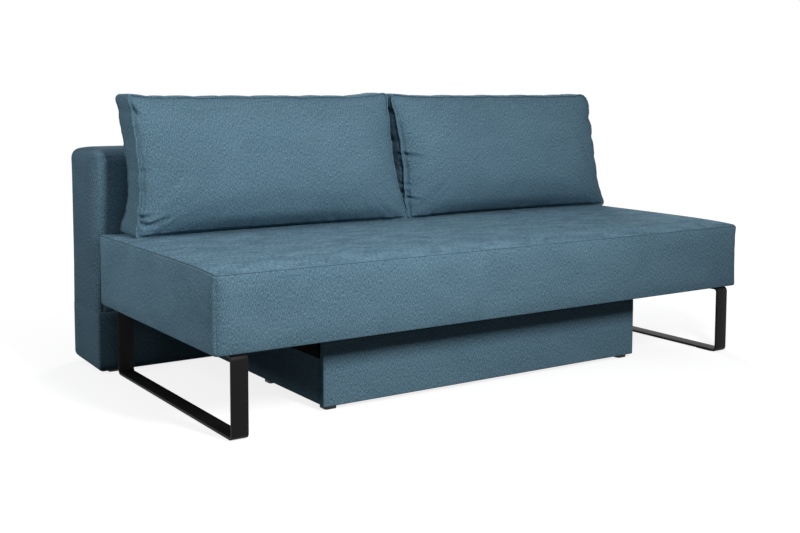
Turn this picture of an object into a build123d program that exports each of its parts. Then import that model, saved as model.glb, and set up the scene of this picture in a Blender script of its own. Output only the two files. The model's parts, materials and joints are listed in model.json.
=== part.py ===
from build123d import *
import math
import os

# Armless fold-down sofa bed, in millimetres: X along the seat, Y to the rear, Z up.
# The origin is on the floor, under the middle of the sofa.

# Upholstered blocks
LENGTH = 2000.0
SEAT_DEPTH = 870.0
SEAT_TOP = 445.0
SEAT_THICK = 215.0
BACK_GAP = 10.0
BACK_THICK = 245.0
BACK_HEIGHT = 520.0

# Upholstery: skin, edge radii (front bottom, rear bottom, rear top, front top), swell of each side
COVER = 2.0
FILL_GAP = 0.3
REST_GAP = 0.3
MIN_RADIUS = 3.0
END_STEPS = 2
FOAM_END_STEPS = 1
SEAT_RADII = (24.0, 24.0, 30.0, 30.0)
SEAT_SWELL = (3.0, 0.0, 5.0, 0.0)
SEAT_END_RADIUS = 26.0
SEAT_DROOP = 4.0
BACK_RADII = (30.0, 14.0, 26.0, 46.0)
BACK_SWELL = (5.0, 0.0, 0.0, 0.0)
BACK_END_RADIUS = 38.0
BACK_DROOP = 2.0
HEM = 60.0
LINING_GAP = 0.3

# Loose cushions: two boxed cushions side by side, a little to one side, each leaning on the back
CUSHION_END = 36.0
CUSHION_SHIFT = 22.0
CUSHION_SPLIT = 4.0
CUSHION_HEIGHT = 458.0
CUSHION_BACK_GAP = 2.0
CUSHION_SIDE_DRAW = 9.0
CUSHION_TOP_DRAW = 11.0
CUSHION_EAR = 300.0
# Gusset at the foot, lean of the front panel in degrees, and the steps of each panel's crown from its seam:
# how far the step stands out, and how far it is drawn in
GUSSET_DEPTH = 178.0
FRONT_LEAN = 9.5
FRONT_CROWN = ((26.0, 22.0), (24.0, 44.0), (16.0, 78.0))
REAR_CROWN = ((11.0, 22.0), (8.0, 38.0))

# Seat frame, slats and lining
RAIL = 22.0
SEAT_RAIL_HEIGHT = 80.0
CROSS_RAILS = 5
SLAT_COUNT = 11
SLAT_WIDTH = 60.0
SLAT_THICK = 8.0
SLAT_BOW = 10.0
SLAT_LAP = 18.0

# Sled legs of flat bar, with floor glides and bolts
BAR_WIDTH = 50.0
BAR_THICK = 8.0
BAR_BEND = 16.0
SLED_END_INSET = 47.0
SLED_FRONT_INSET = 3.0
SLED_REAR_INSET = 24.0
GLIDE_THICK = 2.0
GLIDE_LENGTH = 70.0
GLIDE_INSET = 60.0
GLIDE_MARGIN = 4.0
BOLT_RADIUS = 4.0
BOLT_HEAD_RADIUS = 8.0
BOLT_HEAD = 4.0
BOLT_CLEARANCE = 0.3
BOLTS_PER_LEG = 3
BOLT_MARGIN = 90.0

# Linen box, of boards
BOARD = 16.0
PANEL = 6.0
BOX_WIDTH = 1224.0
BOX_FRONT_INSET = 117.0
BOX_BOTTOM = 14.0
BOX_SEAT_GAP = 30.3
BOX_SIDE_STEP = 4.0
FOOT = 40.0
FOOT_CORNER = 5.0
FOOT_TAPER = 4.0
FOOT_INSET = 14.0

# Rear base, of boards
BASE_BOTTOM = 17.0
BASE_FRONT_RADIUS = 10.0
BASE_REAR_RADIUS = 18.0
BASE_EASE = 7.0
RIB_HALF_GAP = 27.0
BASE_FEET = 4

# Runners on the box sides, with the seat's sliders
ANGLE_WEB = 76.0
ANGLE_FLANGE = 28.0
ANGLE_THICK = 4.0
ANGLE_FILLET = 5.0
GUSSET_SAG = 5.0
RUNNER_SEAT_GAP = 4.0
RUNNER_FRONT = 26.0
RUNNER_LENGTH = 450.0
SLIDER_LENGTH = 120.0
SLIDER_REAR_MARGIN = 14.0
SLIDER_LIP = 6.0
SLIDER_DROP = 20.0
SLIDE_CLEARANCE = 0.5

# Back frame
BACK_FOAM = 100.0
WEBBING = 2.0
WEBBING_WIDTH = 60.0
WEBBING_COUNT = 12

# Lift arms: the back's pivot in the slab, the arm's drop below the chord, and the crank of the arm
ARM_X = 665.0
HINGE_IN = 140.0
HINGE_UP = 50.0
ARM_DROP = 137.0
ARM_WIDTH = 28.0
ARM_THICK = 8.0
ARM_EYE = 20.0
ELBOW_IN = 10.0
ELBOW_DROP = 87.0
PIN_RADIUS = 8.0
PIN_FIT = 0.05
PIN_HEAD_RADIUS = 12.0
PIN_HEAD = 5.0
BUSH_RADIUS = 12.0
BUSH_PRESS = 0.02
BUSH_CLEARANCE = 0.3
CHEEK = 4.0
CHEEK_GAP = 22.0
CHEEK_NOSE = 20.0
CHEEK_ROOT = 70.0
FLANGE_WIDTH = 24.0
SCREW_RADIUS = 4.0
SCREW_HEAD_RADIUS = 7.5
SCREW_HEAD = 4.0
POCKET_WIDTH = 40.0
POCKET_HEIGHT = 216.0
POCKET_MARGIN = 3.0
HINGE_PLATE = 60.0
NOTCH_MARGIN = 3.0

# Places that follow from the sizes above
HALF = LENGTH / 2
DEPTH = SEAT_DEPTH + BACK_GAP + BACK_THICK
FRONT = -DEPTH / 2
SEAT_REAR = FRONT + SEAT_DEPTH
BACK_FRONT = SEAT_REAR + BACK_GAP
BACK_REAR = BACK_FRONT + BACK_THICK
SEAT_BOTTOM = SEAT_TOP - SEAT_THICK
SLAB_BOTTOM = SEAT_TOP - BACK_THICK
BACK_TOP = SLAB_BOTTOM + BACK_HEIGHT
BASE_TOP = SLAB_BOTTOM - REST_GAP
BOX_TOP = min(SEAT_BOTTOM - BOX_SEAT_GAP, BASE_TOP)
BOX_HALF = BOX_WIDTH / 2
BOX_FRONT = FRONT + BOX_FRONT_INSET
BOX_SIDE = BOX_HALF - COVER - BOX_SIDE_STEP
FRAME_FRONT = BACK_FRONT + BACK_FOAM
SIDES = (("left", -1), ("right", 1))

# Pivots: where the back's pivot is upright and folded, and the arm's pivot on their bisector
HINGE_Y = BACK_FRONT + HINGE_IN
HINGE_Z = SLAB_BOTTOM + HINGE_UP
FOLDED_Y = BACK_REAR - BACK_HEIGHT + HINGE_UP
FOLDED_Z = SEAT_TOP - HINGE_IN
CHORD = math.hypot(FOLDED_Y - HINGE_Y, FOLDED_Z - HINGE_Z)
ARM_Y = (HINGE_Y + FOLDED_Y) / 2 - ARM_DROP * (FOLDED_Z - HINGE_Z) / CHORD
ARM_Z = (HINGE_Z + FOLDED_Z) / 2 + ARM_DROP * (FOLDED_Y - HINGE_Y) / CHORD
ELBOW = (HINGE_Y - ELBOW_IN, HINGE_Z - ELBOW_DROP)


def block(x, y, z):
    """Box between the two values given on each axis."""
    size = [abs(b - a) for a, b in (x, y, z)]
    middle = [(a + b) / 2 for a, b in (x, y, z)]
    return Pos(*middle) * Box(*size)


def plate(outline, x):
    """Plate between two X values, from an outline drawn in Y and Z."""
    low, high = sorted(x)
    return extrude(Plane.YZ.offset(low) * outline, high - low)


def rod(y, z, radius, x):
    """Round bar along X."""
    return plate(Pos(y, z) * Circle(radius), x)


def hex_screw(radius, head_radius, head, shank):
    """Screw that points up from the origin, with a six-sided head below."""
    return extrude(RegularPolygon(head_radius, 6), -head) + extrude(Circle(radius), shank)


def cut_square(width, length, corner):
    """Rectangle with cut corners."""
    outline = Rectangle(width, length)
    return chamfer(outline.vertices(), corner)


def spread(count, low, high):
    """Evenly spaced values, with the first and last at the ends."""
    return [low + (high - low) * k / (count - 1) for k in range(count)]


def corner_arc(start, end, centre, radius, toward):
    """Quarter-circle corner of an outline in a YZ plane."""
    reach = radius / math.sqrt(2)
    middle = (centre[0], centre[1] + toward[0] * reach, centre[2] + toward[1] * reach)
    return ThreePointArc(start, middle, end)


def side(start, end, swell, toward):
    """Straight or swelling side of an outline in a YZ plane."""
    if swell == 0:
        return Line(start, end)
    middle = [(a + b) / 2 for a, b in zip(start, end)]
    middle[1] += toward[0] * swell
    middle[2] += toward[1] * swell
    return ThreePointArc(start, tuple(middle), end)


def pad_section(x, y, z, radii, swell):
    """Upholstered outline at one X: four corner arcs, and sides that swell between them."""
    lower_front, lower_rear, upper_rear, upper_front = radii
    y0, y1 = y[0] + swell[0], y[1] - swell[1]
    z0, z1 = z[0] + swell[3], z[1] - swell[2]
    a = (x, y0 + lower_front, z0)
    b = (x, y1 - lower_rear, z0)
    c = (x, y1, z0 + lower_rear)
    d = (x, y1, z1 - upper_rear)
    e = (x, y1 - upper_rear, z1)
    f = (x, y0 + upper_front, z1)
    g = (x, y0, z1 - upper_front)
    h = (x, y0, z0 + lower_front)
    edges = [
        side(a, b, swell[3], (0, -1)),
        corner_arc(b, c, (x, b[1], c[2]), lower_rear, (1, -1)),
        side(c, d, swell[1], (1, 0)),
        corner_arc(d, e, (x, e[1], d[2]), upper_rear, (1, 1)),
        side(e, f, swell[2], (0, 1)),
        corner_arc(f, g, (x, f[1], g[2]), upper_front, (-1, 1)),
        side(g, h, swell[0], (-1, 0)),
        corner_arc(h, a, (x, a[1], h[2]), lower_front, (-1, -1)),
    ]
    return Face(Wire(edges))


def padded(y, z, radii, swell, end_radius, droop, skin, steps):
    """Full-length upholstered block, rounded at both ends and crowned, drawn in by a skin."""
    half = HALF - skin
    bend = end_radius - skin
    stations = [(half / 3, 0.0, 0.0)]
    for step in range(steps + 1):
        angle = math.radians(90 * step / steps)
        stations.append((half - bend + bend * math.sin(angle), bend - bend * math.cos(angle), droop))
    mirrored = [(-x, inset, lower) for x, inset, lower in reversed(stations)]
    sections = []
    for x, inset, lower in mirrored + stations:
        drawn = skin + inset
        top = z[1] - drawn - lower
        corners = [max(radius - drawn, MIN_RADIUS) for radius in radii]
        sections.append(pad_section(x, (y[0] + drawn, y[1] - drawn), (z[0] + drawn, top), corners, swell))
    return loft(sections, ruled=True)


def seat_pad(skin, steps=END_STEPS):
    """Seat block drawn in by a skin."""
    y = (FRONT, SEAT_REAR)
    z = (SEAT_BOTTOM, SEAT_TOP)
    return padded(y, z, SEAT_RADII, SEAT_SWELL, SEAT_END_RADIUS, SEAT_DROOP, skin, steps)


def back_pad(skin, steps=END_STEPS):
    """Upper back slab drawn in by a skin."""
    y = (BACK_FRONT, BACK_REAR)
    z = (SLAB_BOTTOM, BACK_TOP)
    return padded(y, z, BACK_RADII, BACK_SWELL, BACK_END_RADIUS, BACK_DROOP, skin, steps)


def cushion_outline(half, low, high):
    """Cushion outline with a flat foot, and drawn-in sides that leave an ear at each top corner."""
    middle = (low + high) / 2
    right = [(half, low), (half - CUSHION_SIDE_DRAW, middle), (half, high)]
    right.append((half - CUSHION_EAR, high - CUSHION_TOP_DRAW))
    left = [(-x, z) for x, z in reversed(right)]
    return make_face(Polyline(*right, *left, close=True))


def crowned(body, face, steps):
    """Body with a crown on one flat face, built of steps that are each drawn in."""
    place = Plane(face)
    top = place.to_local_coords(face)
    for out, drawn in steps:
        step = extrude(top, out, taper=math.degrees(math.atan2(drawn, out)))
        body += place.from_local_coords(step)
        top = step.faces().sort_by(Axis.Z)[-1]
    return body


def seat_surface(y):
    """Height of the crowned seat's middle at one Y."""
    front = FRONT + SEAT_SWELL[0] + SEAT_RADII[3]
    rear = SEAT_REAR - SEAT_SWELL[1] - SEAT_RADII[2]
    off_middle = (y - (front + rear) / 2) / ((rear - front) / 2)
    return SEAT_TOP - SEAT_SWELL[2] * off_middle ** 2


def cushion(sign, skin):
    """Boxed cushion: gusset between two seams, a crowned leaning front, and a rear that lies on the back."""
    width = HALF - CUSHION_END - CUSHION_SPLIT / 2
    x = CUSHION_SHIFT + sign * (CUSHION_SPLIT + width) / 2
    rear_seam = BACK_FRONT - CUSHION_BACK_GAP - sum(out for out, _ in REAR_CROWN)
    front_seam = rear_seam - GUSSET_DEPTH
    foot = seat_surface(front_seam) + REST_GAP
    outline = cushion_outline(width / 2 - skin, foot + skin, foot + CUSHION_HEIGHT - skin)
    rear = Plane((x, rear_seam - skin, 0), x_dir=(1, 0, 0), z_dir=(0, -1, 0))
    lean = math.radians(FRONT_LEAN)
    front = Plane((x, front_seam + skin, foot), z_dir=(0, -math.cos(lean), math.sin(lean)))
    gusset = split(extrude(rear * outline, GUSSET_DEPTH), bisect_by=front, keep=Keep.BOTTOM)
    along = gusset.faces().sort_by(Axis.Y)
    return crowned(crowned(gusset, along[0], FRONT_CROWN), along[-1], REAR_CROWN)


def add_cushions(nodes):
    """Cover and fill of the two loose cushions."""
    for name, sign in SIDES:
        nodes[f"cushion_{name}_cover"] = cushion(sign, 0) - cushion(sign, COVER)
        nodes[f"cushion_{name}_fill"] = cushion(sign, COVER + FILL_GAP)


def add_seat(nodes):
    """Seat: frame of rails, bowed slats, foam, cover with a hem, and dust cloth."""
    bottom = SEAT_BOTTOM + COVER
    top = bottom + SEAT_RAIL_HEIGHT
    inner_x = HALF - SEAT_END_RADIUS
    front = FRONT + SEAT_SWELL[0] + SEAT_RADII[0]
    rear = SEAT_REAR - SEAT_SWELL[1] - SEAT_RADII[1]
    height = (bottom, top)
    across = (-inner_x, inner_x)
    between = (front + RAIL, rear - RAIL)
    nodes["seat_front_rail"] = block(across, (front, front + RAIL), height)
    nodes["seat_rear_rail"] = block(across, (rear - RAIL, rear), height)
    ends = [block((s * (inner_x - RAIL), s * inner_x), between, height) for _, s in SIDES]
    nodes["seat_end_rails"] = Compound(ends)
    sled_x = HALF - SLED_END_INSET - BAR_WIDTH / 2
    lowered = (bottom, top - SLAT_BOW)
    cross_x = spread(CROSS_RAILS, -sled_x, sled_x)
    cross = [block((x - RAIL / 2, x + RAIL / 2), between, lowered) for x in cross_x]
    nodes["seat_cross_rails"] = Compound(cross)

    slat_front, slat_rear = front + RAIL - SLAT_LAP, rear - RAIL + SLAT_LAP
    middle = (slat_front + slat_rear) / 2
    lower = ThreePointArc((slat_front, top), (middle, top + SLAT_BOW), (slat_rear, top))
    rise = top + SLAT_THICK
    upper = ThreePointArc((slat_rear, rise), (middle, rise + SLAT_BOW), (slat_front, rise))
    outline = make_face([lower, Line(lower @ 1, upper @ 0), upper, Line(upper @ 1, lower @ 0)])
    slat_x = inner_x - RAIL - SLAT_WIDTH
    places = spread(SLAT_COUNT, -slat_x, slat_x)
    slats = [plate(outline, (x - SLAT_WIDTH / 2, x + SLAT_WIDTH / 2)) for x in places]
    nodes["seat_slats"] = Compound(slats)

    foam_bottom = rise + SLAT_BOW + FILL_GAP
    everything = (-LENGTH, LENGTH)
    foam_space = block(everything, everything, (foam_bottom, SEAT_TOP))
    nodes["seat_foam"] = seat_pad(COVER + FILL_GAP, FOAM_END_STEPS) & foam_space
    hole_x = HALF - HEM
    hole_y = (FRONT + HEM, SEAT_REAR - HEM)
    skin = (SEAT_BOTTOM, bottom)
    hole = block((-hole_x, hole_x), hole_y, skin)
    nodes["seat_cover"] = seat_pad(0) - seat_pad(COVER) - hole
    lining_x = hole_x - LINING_GAP
    lining_y = (hole_y[0] + LINING_GAP, hole_y[1] - LINING_GAP)
    nodes["seat_dust_cloth"] = block((-lining_x, lining_x), lining_y, skin)


def add_sled_legs(nodes):
    """Two closed loops of flat bar under the seat, on glides, each bolted to the seat frame."""
    front = FRONT + SLED_FRONT_INSET
    rear = SEAT_REAR - SLED_REAR_INSET
    length, height = rear - front, SEAT_BOTTOM - GLIDE_THICK
    loop = RectangleRounded(length, height, BAR_BEND)
    inside = RectangleRounded(length - 2 * BAR_THICK, height - 2 * BAR_THICK, BAR_BEND - BAR_THICK)
    ring = Pos((front + rear) / 2, GLIDE_THICK + height / 2) * (loop - inside)
    glides, bolts = [], []
    for name, sign in SIDES:
        outer = HALF - SLED_END_INSET
        x = sign * (outer - BAR_WIDTH / 2)
        leg = plate(ring, (sign * (outer - BAR_WIDTH), sign * outer))
        seat_z = SEAT_BOTTOM - BAR_THICK
        for y in spread(BOLTS_PER_LEG, front + BOLT_MARGIN, rear - BOLT_MARGIN):
            leg -= Pos(x, y, seat_z) * extrude(Circle(BOLT_RADIUS + BOLT_CLEARANCE), BAR_THICK)
            bolts.append(Pos(x, y, seat_z) * hex_screw(BOLT_RADIUS, BOLT_HEAD_RADIUS, BOLT_HEAD, BAR_THICK))
        nodes[f"sled_leg_{name}"] = leg
        for y in (front + GLIDE_INSET, rear - GLIDE_INSET):
            pad = cut_square(BAR_WIDTH - 2 * GLIDE_MARGIN, GLIDE_LENGTH, GLIDE_MARGIN)
            glides.append(Pos(x, y, 0) * extrude(pad, GLIDE_THICK))
    nodes["floor_glides"] = Compound(glides)
    nodes["leg_bolts"] = Compound(bolts)


def foot(x, y, height):
    """Square tapered foot with cut corners, narrower at the floor."""
    top = Pos(x, y, height) * cut_square(FOOT, FOOT, FOOT_CORNER)
    return extrude(top, -height, taper=FOOT_TAPER)


def add_linen_box(nodes):
    """Open-topped box under the seat: boards, floor panel, fabric skins and feet."""
    height = (BOX_BOTTOM, BOX_TOP)
    board_half = BOX_HALF - COVER
    board_front = BOX_FRONT + COVER
    board_rear = board_front + BOARD
    nodes["box_front_board"] = block((-board_half, board_half), (board_front, board_rear), height)
    wrap = block((-BOX_HALF, BOX_HALF), (BOX_FRONT, board_rear), height)
    nodes["box_front_fabric"] = wrap - block((-board_half, board_half), (board_front, board_rear), height)
    run = (board_rear, BACK_FRONT)
    for name, sign in SIDES:
        inner, outer = sign * (BOX_SIDE - BOARD), sign * BOX_SIDE
        nodes[f"box_side_{name}"] = block((inner, outer), run, height)
        nodes[f"box_side_fabric_{name}"] = block((outer, outer + sign * COVER), run, height)
    floor_half = BOX_SIDE - BOARD
    nodes["box_floor"] = block((-floor_half, floor_half), run, (BOX_BOTTOM, BOX_BOTTOM + PANEL))
    foot_x = BOX_HALF - FOOT_INSET - FOOT / 2
    foot_rear = (BOX_FRONT + BACK_FRONT) / 2
    places = [(s * foot_x, y) for _, s in SIDES for y in (BOX_FRONT + FOOT_INSET + FOOT / 2, foot_rear)]
    nodes["box_feet"] = Compound([foot(x, y, BOX_BOTTOM) for x, y in places])


def base_prism(skin, z):
    """Rear base block with rounded upright edges and an eased lower edge, drawn in by a skin."""
    x = HALF - skin
    body = block((-x, x), (BACK_FRONT + skin, BACK_REAR - skin), z)
    upright = body.edges().filter_by(Axis.Z).group_by(Axis.Y)
    body = fillet(upright[0], BASE_FRONT_RADIUS - skin)
    upright = body.edges().filter_by(Axis.Z).group_by(Axis.Y)
    body = fillet(upright[-1], BASE_REAR_RADIUS - skin)
    return chamfer(body.faces().sort_by(Axis.Z)[0].edges(), BASE_EASE)


def arm_slots(low):
    """Slots through the rear base's front, one for each lift arm."""
    half = POCKET_WIDTH / 2
    y = (BACK_FRONT - BOARD, BACK_FRONT + COVER + BOARD)
    return [block((s * ARM_X - half, s * ARM_X + half), y, (low, SLAB_BOTTOM)) for _, s in SIDES]


def add_rear_base(nodes):
    """Fixed base under the back: boards and ribs in a fabric cover with an open top, on feet."""
    z = (BASE_BOTTOM + COVER, BASE_TOP - COVER)
    core = base_prism(COVER, z)
    front = (BACK_FRONT + COVER, BACK_FRONT + COVER + BOARD)
    rear = (BACK_REAR - COVER - BOARD, BACK_REAR - COVER)
    between = (front[1], rear[0])
    wide = (-HALF, HALF)
    slots = arm_slots(ARM_Z - ARM_EYE - NOTCH_MARGIN)
    nodes["base_front_board"] = (core & block(wide, front, z)) - slots
    nodes["base_rear_board"] = core & block(wide, rear, z)
    end = HALF - COVER
    ends = [core & block((s * (end - BOARD), s * end), between, z) for _, s in SIDES]
    nodes["base_end_boards"] = Compound(ends)
    places = [0.0]
    for _, sign in SIDES:
        places += [sign * (ARM_X - RIB_HALF_GAP - BOARD / 2), sign * (ARM_X + RIB_HALF_GAP + BOARD / 2)]
    ribs = [block((x - BOARD / 2, x + BOARD / 2), between, z) for x in places]
    nodes["base_ribs"] = Compound(ribs)
    hem = COVER + BOARD
    hole_x = HALF - hem
    hole = block((-hole_x, hole_x), (BACK_FRONT + hem, BACK_REAR - hem), (0, BACK_TOP))
    skin = base_prism(0, (BASE_BOTTOM, BASE_TOP)) - core
    nodes["base_cover"] = skin - hole - slots
    foot_x = HALF - FOOT_INSET - FOOT
    foot_y = [BACK_FRONT + FOOT_INSET + FOOT / 2, BACK_REAR - FOOT_INSET - FOOT / 2]
    feet = [foot(x, y, BASE_BOTTOM) for x in spread(BASE_FEET, -foot_x, foot_x) for y in foot_y]
    nodes["base_feet"] = Compound(feet)


def runner_gusset(sign, wall, tip, top, front):
    """Plate with a hollowed edge that stiffens the front end of a runner."""
    under = top - ANGLE_THICK
    outer, inner = (sign * tip, under), (sign * (wall + ANGLE_THICK), top - ANGLE_WEB)
    corner = (inner[0], under)
    length = math.dist(outer, inner)
    middle_x = (outer[0] + inner[0]) / 2 - sign * GUSSET_SAG * (under - inner[1]) / length
    middle_z = (outer[1] + inner[1]) / 2 + GUSSET_SAG * abs(outer[0] - inner[0]) / length
    hollow = ThreePointArc(outer, (middle_x, middle_z), inner)
    outline = make_face([hollow, Line(inner, corner), Line(corner, outer)])
    return extrude(Plane.XZ.offset(-front) * outline, -ANGLE_THICK)


def add_runners(nodes):
    """Steel angle along each side of the box, and the seat's slider that rides on it."""
    wall = BOX_SIDE + COVER
    top = SEAT_BOTTOM - RUNNER_SEAT_GAP
    tip = wall + ANGLE_FLANGE
    front = BOX_FRONT + RUNNER_FRONT
    rear = front + RUNNER_LENGTH
    for name, sign in SIDES:
        web = block((sign * wall, sign * (wall + ANGLE_THICK)), (front, rear), (top - ANGLE_WEB, top))
        flange = block((sign * wall, sign * tip), (front, rear), (top - ANGLE_THICK, top))
        angle = web + flange
        root = (sign * (wall + ANGLE_THICK), (front + rear) / 2, top - ANGLE_THICK)
        inner_edge = angle.edges().filter_by(Axis.Y).sort_by_distance(root)[0]
        angle = fillet(inner_edge, ANGLE_FILLET)
        nodes[f"runner_{name}"] = angle + runner_gusset(sign, wall, tip, top, front)
        slide_y = (rear - SLIDER_REAR_MARGIN - SLIDER_LENGTH, rear - SLIDER_REAR_MARGIN)
        lip = tip + SLIDE_CLEARANCE
        shoe = block((sign * wall, sign * (lip + SLIDER_LIP)), slide_y, (top + SLIDE_CLEARANCE, SEAT_BOTTOM))
        guide = block((sign * lip, sign * (lip + SLIDER_LIP)), slide_y, (top - SLIDER_DROP, SEAT_BOTTOM))
        nodes[f"seat_slider_{name}"] = shoe + guide


def back_pockets():
    """Slots in the slab's lower rear, where the lift arms swing."""
    half = POCKET_WIDTH / 2
    y = (FRAME_FRONT + WEBBING + POCKET_MARGIN, BACK_REAR + COVER)
    z = (SLAB_BOTTOM - COVER, SLAB_BOTTOM + POCKET_HEIGHT)
    return [block((s * ARM_X - half, s * ARM_X + half), y, z) for _, s in SIDES]


def add_back(nodes):
    """Back slab: rails, posts beside each pocket, rear panel, webbing, foam and cover."""
    front = FRAME_FRONT + WEBBING
    panel_rear = BACK_REAR - COVER - FILL_GAP
    rear = panel_rear - PANEL
    y = (front, rear)
    low = SLAB_BOTTOM + COVER + BACK_RADII[1]
    high = BACK_TOP - COVER - BACK_DROOP - BACK_SWELL[2] - BACK_RADII[2]
    half = HALF - BACK_END_RADIUS
    posts_z = (low, high - RAIL)
    pocket_near, pocket_far = ARM_X - POCKET_WIDTH / 2, ARM_X + POCKET_WIDTH / 2
    near, far = pocket_near - BOARD, pocket_far + BOARD
    nodes["back_top_rail"] = block((-half, half), y, (high - RAIL, high))
    rail_z = (low, low + RAIL)
    rails = [block((-near, near), y, rail_z)]
    posts = []
    for _, sign in SIDES:
        rails.append(block((sign * far, sign * (half - BOARD)), y, rail_z))
        for inner in (near, pocket_far, half - BOARD):
            posts.append(block((sign * inner, sign * (inner + BOARD)), y, posts_z))
    nodes["back_bottom_rails"] = Compound(rails)
    nodes["back_posts"] = Compound(posts)
    pockets = back_pockets()
    nodes["back_panel"] = block((-half, half), (rear, panel_rear), (low, high)) - pockets
    strap = WEBBING_WIDTH / 2
    reach = half - WEBBING_WIDTH
    places = spread(WEBBING_COUNT, -reach, reach)
    straps = [block((x - strap, x + strap), (FRAME_FRONT, front), (low, high)) for x in places]
    nodes["back_webbing"] = Compound(straps)
    foam_space = block((-LENGTH, LENGTH), (BACK_FRONT, FRAME_FRONT), (SLAB_BOTTOM, BACK_TOP))
    nodes["back_foam"] = back_pad(COVER + FILL_GAP, FOAM_END_STEPS) & foam_space
    nodes["back_cover"] = back_pad(0) - back_pad(COVER) - pockets


def bar(start, end):
    """Flat bar between two points in Y and Z, with round ends."""
    turn = math.degrees(math.atan2(end[1] - start[1], end[0] - start[0]))
    middle = Pos((start[0] + end[0]) / 2, (start[1] + end[1]) / 2)
    return middle * Rot(0, 0, turn) * SlotCenterToCenter(math.dist(start, end), ARM_WIDTH)


def add_mechanism(nodes):
    """Cranked lift arms between brackets on the rear base and hinge plates in the back's pockets."""
    arm, hinge = (ARM_Y, ARM_Z), (HINGE_Y, HINGE_Z)
    bore = Circle(PIN_RADIUS + PIN_FIT)
    eyes = Pos(*arm) * Circle(ARM_EYE) + Pos(*hinge) * Circle(ARM_EYE)
    seat_hole = Circle(BUSH_RADIUS + BUSH_PRESS)
    outline = bar(arm, ELBOW) + bar(ELBOW, hinge) + eyes - Pos(*arm) * seat_hole - Pos(*hinge) * seat_hole

    root_z = (ARM_Z - CHEEK_ROOT / 2, ARM_Z + CHEEK_ROOT / 2)
    root = Line((BACK_FRONT, root_z[0]), (BACK_FRONT, root_z[1]))
    nose = Pos(*arm) * Circle(CHEEK_NOSE)
    cheek = make_hull(nose.edges() + root.edges()) - Pos(*arm) * bore

    ear_z = HINGE_Z + HINGE_PLATE
    ear_top = Line((HINGE_Y - CHEEK_NOSE, ear_z), (HINGE_Y + CHEEK_NOSE, ear_z))
    ear_nose = Pos(*hinge) * Circle(CHEEK_NOSE)
    ear = make_hull(ear_nose.edges() + ear_top.edges()) - Pos(*hinge) * bore

    bushes, ears, arm_pins, hinge_pins, screws = [], [], [], [], []
    ring = Circle(BUSH_RADIUS) - bore
    pocket = POCKET_WIDTH / 2
    for name, sign in SIDES:
        x = sign * ARM_X
        faces = (x - ARM_THICK / 2, x + ARM_THICK / 2)
        nodes[f"lift_arm_{name}"] = plate(outline, faces)
        brackets = []
        for out in (-1, 1):
            cheek_in, cheek_out = x + out * CHEEK_GAP / 2, x + out * (CHEEK_GAP / 2 + CHEEK)
            flange_x = (cheek_in, cheek_out + out * FLANGE_WIDTH)
            flange_y = (BACK_FRONT - CHEEK, BACK_FRONT)
            bracket = plate(cheek, (cheek_in, cheek_out)) + block(flange_x, flange_y, root_z)
            screw_x = cheek_out + out * FLANGE_WIDTH / 2
            seat = Pos(screw_x, BACK_FRONT - CHEEK, ARM_Z) * Rot(-90, 0, 0)
            bracket -= seat * extrude(Circle(SCREW_RADIUS + BOLT_CLEARANCE), CHEEK)
            screws.append(seat * hex_screw(SCREW_RADIUS, SCREW_HEAD_RADIUS, SCREW_HEAD, CHEEK))
            brackets.append(bracket)
            ear_x = (x + out * (pocket - CHEEK), x + out * pocket)
            ears.append(plate(ear, ear_x))
        nodes[f"arm_bracket_{name}"] = Compound(brackets)
        for pivot, room in ((arm, CHEEK_GAP / 2), (hinge, pocket - CHEEK)):
            reach = room - BUSH_CLEARANCE
            bushes.append(plate(Pos(*pivot) * ring, (x - reach, x + reach)))
        outside = CHEEK_GAP / 2 + CHEEK
        pin = rod(*arm, PIN_RADIUS, (x - outside, x + outside))
        for out in (-1, 1):
            nut = Pos(*arm) * RegularPolygon(PIN_HEAD_RADIUS, 6)
            pin += plate(nut, (x + out * outside, x + out * (outside + PIN_HEAD)))
        arm_pins.append(pin)
        hinge_pins.append(rod(*hinge, PIN_RADIUS, (x - pocket, x + pocket)))
    nodes["arm_bushes"] = Compound(bushes)
    nodes["hinge_plates"] = Compound(ears)
    nodes["arm_pins"] = Compound(arm_pins)
    nodes["hinge_pins"] = Compound(hinge_pins)
    nodes["bracket_screws"] = Compound(screws)


def report_motion():
    """Print the pivots and the angles that the lift arms and the back turn through."""
    upright = math.degrees(math.atan2(HINGE_Z - ARM_Z, HINGE_Y - ARM_Y))
    folded = math.degrees(math.atan2(FOLDED_Z - ARM_Z, FOLDED_Y - ARM_Y))
    print(f"arm pivot {ARM_Y:.3f} {ARM_Z:.3f}, back pivot {HINGE_Y:.3f} {HINGE_Z:.3f}")
    print(f"arm turns {folded - upright:.3f} degrees, back turns {90 + folded - upright:.3f} on the arm")


def main():
    nodes = {}
    add_linen_box(nodes)
    add_rear_base(nodes)
    add_runners(nodes)
    add_seat(nodes)
    add_sled_legs(nodes)
    add_mechanism(nodes)
    add_back(nodes)
    add_cushions(nodes)
    report_motion()
    os.makedirs("parts", exist_ok=True)
    for name, shape in nodes.items():
        export_step(shape, f"parts/{name}.step")
    print(len(nodes), "nodes")


main()
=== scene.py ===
# %% [markdown]
# # A fold-down sofa bed, dressed in fabric
#
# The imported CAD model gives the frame: every board, rail, arm and screw is already in its place, in metres.
# This lesson dresses that frame. Soft blocks become sewn covers that are blown up like real ones, the legs
# get rounded edges, and each surface gets the material that it is made of.

# %% Load the frame
import json
import math

import bpy
import numpy as np
from mathutils import Matrix, Vector
from mathutils.bvhtree import BVHTree


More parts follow.
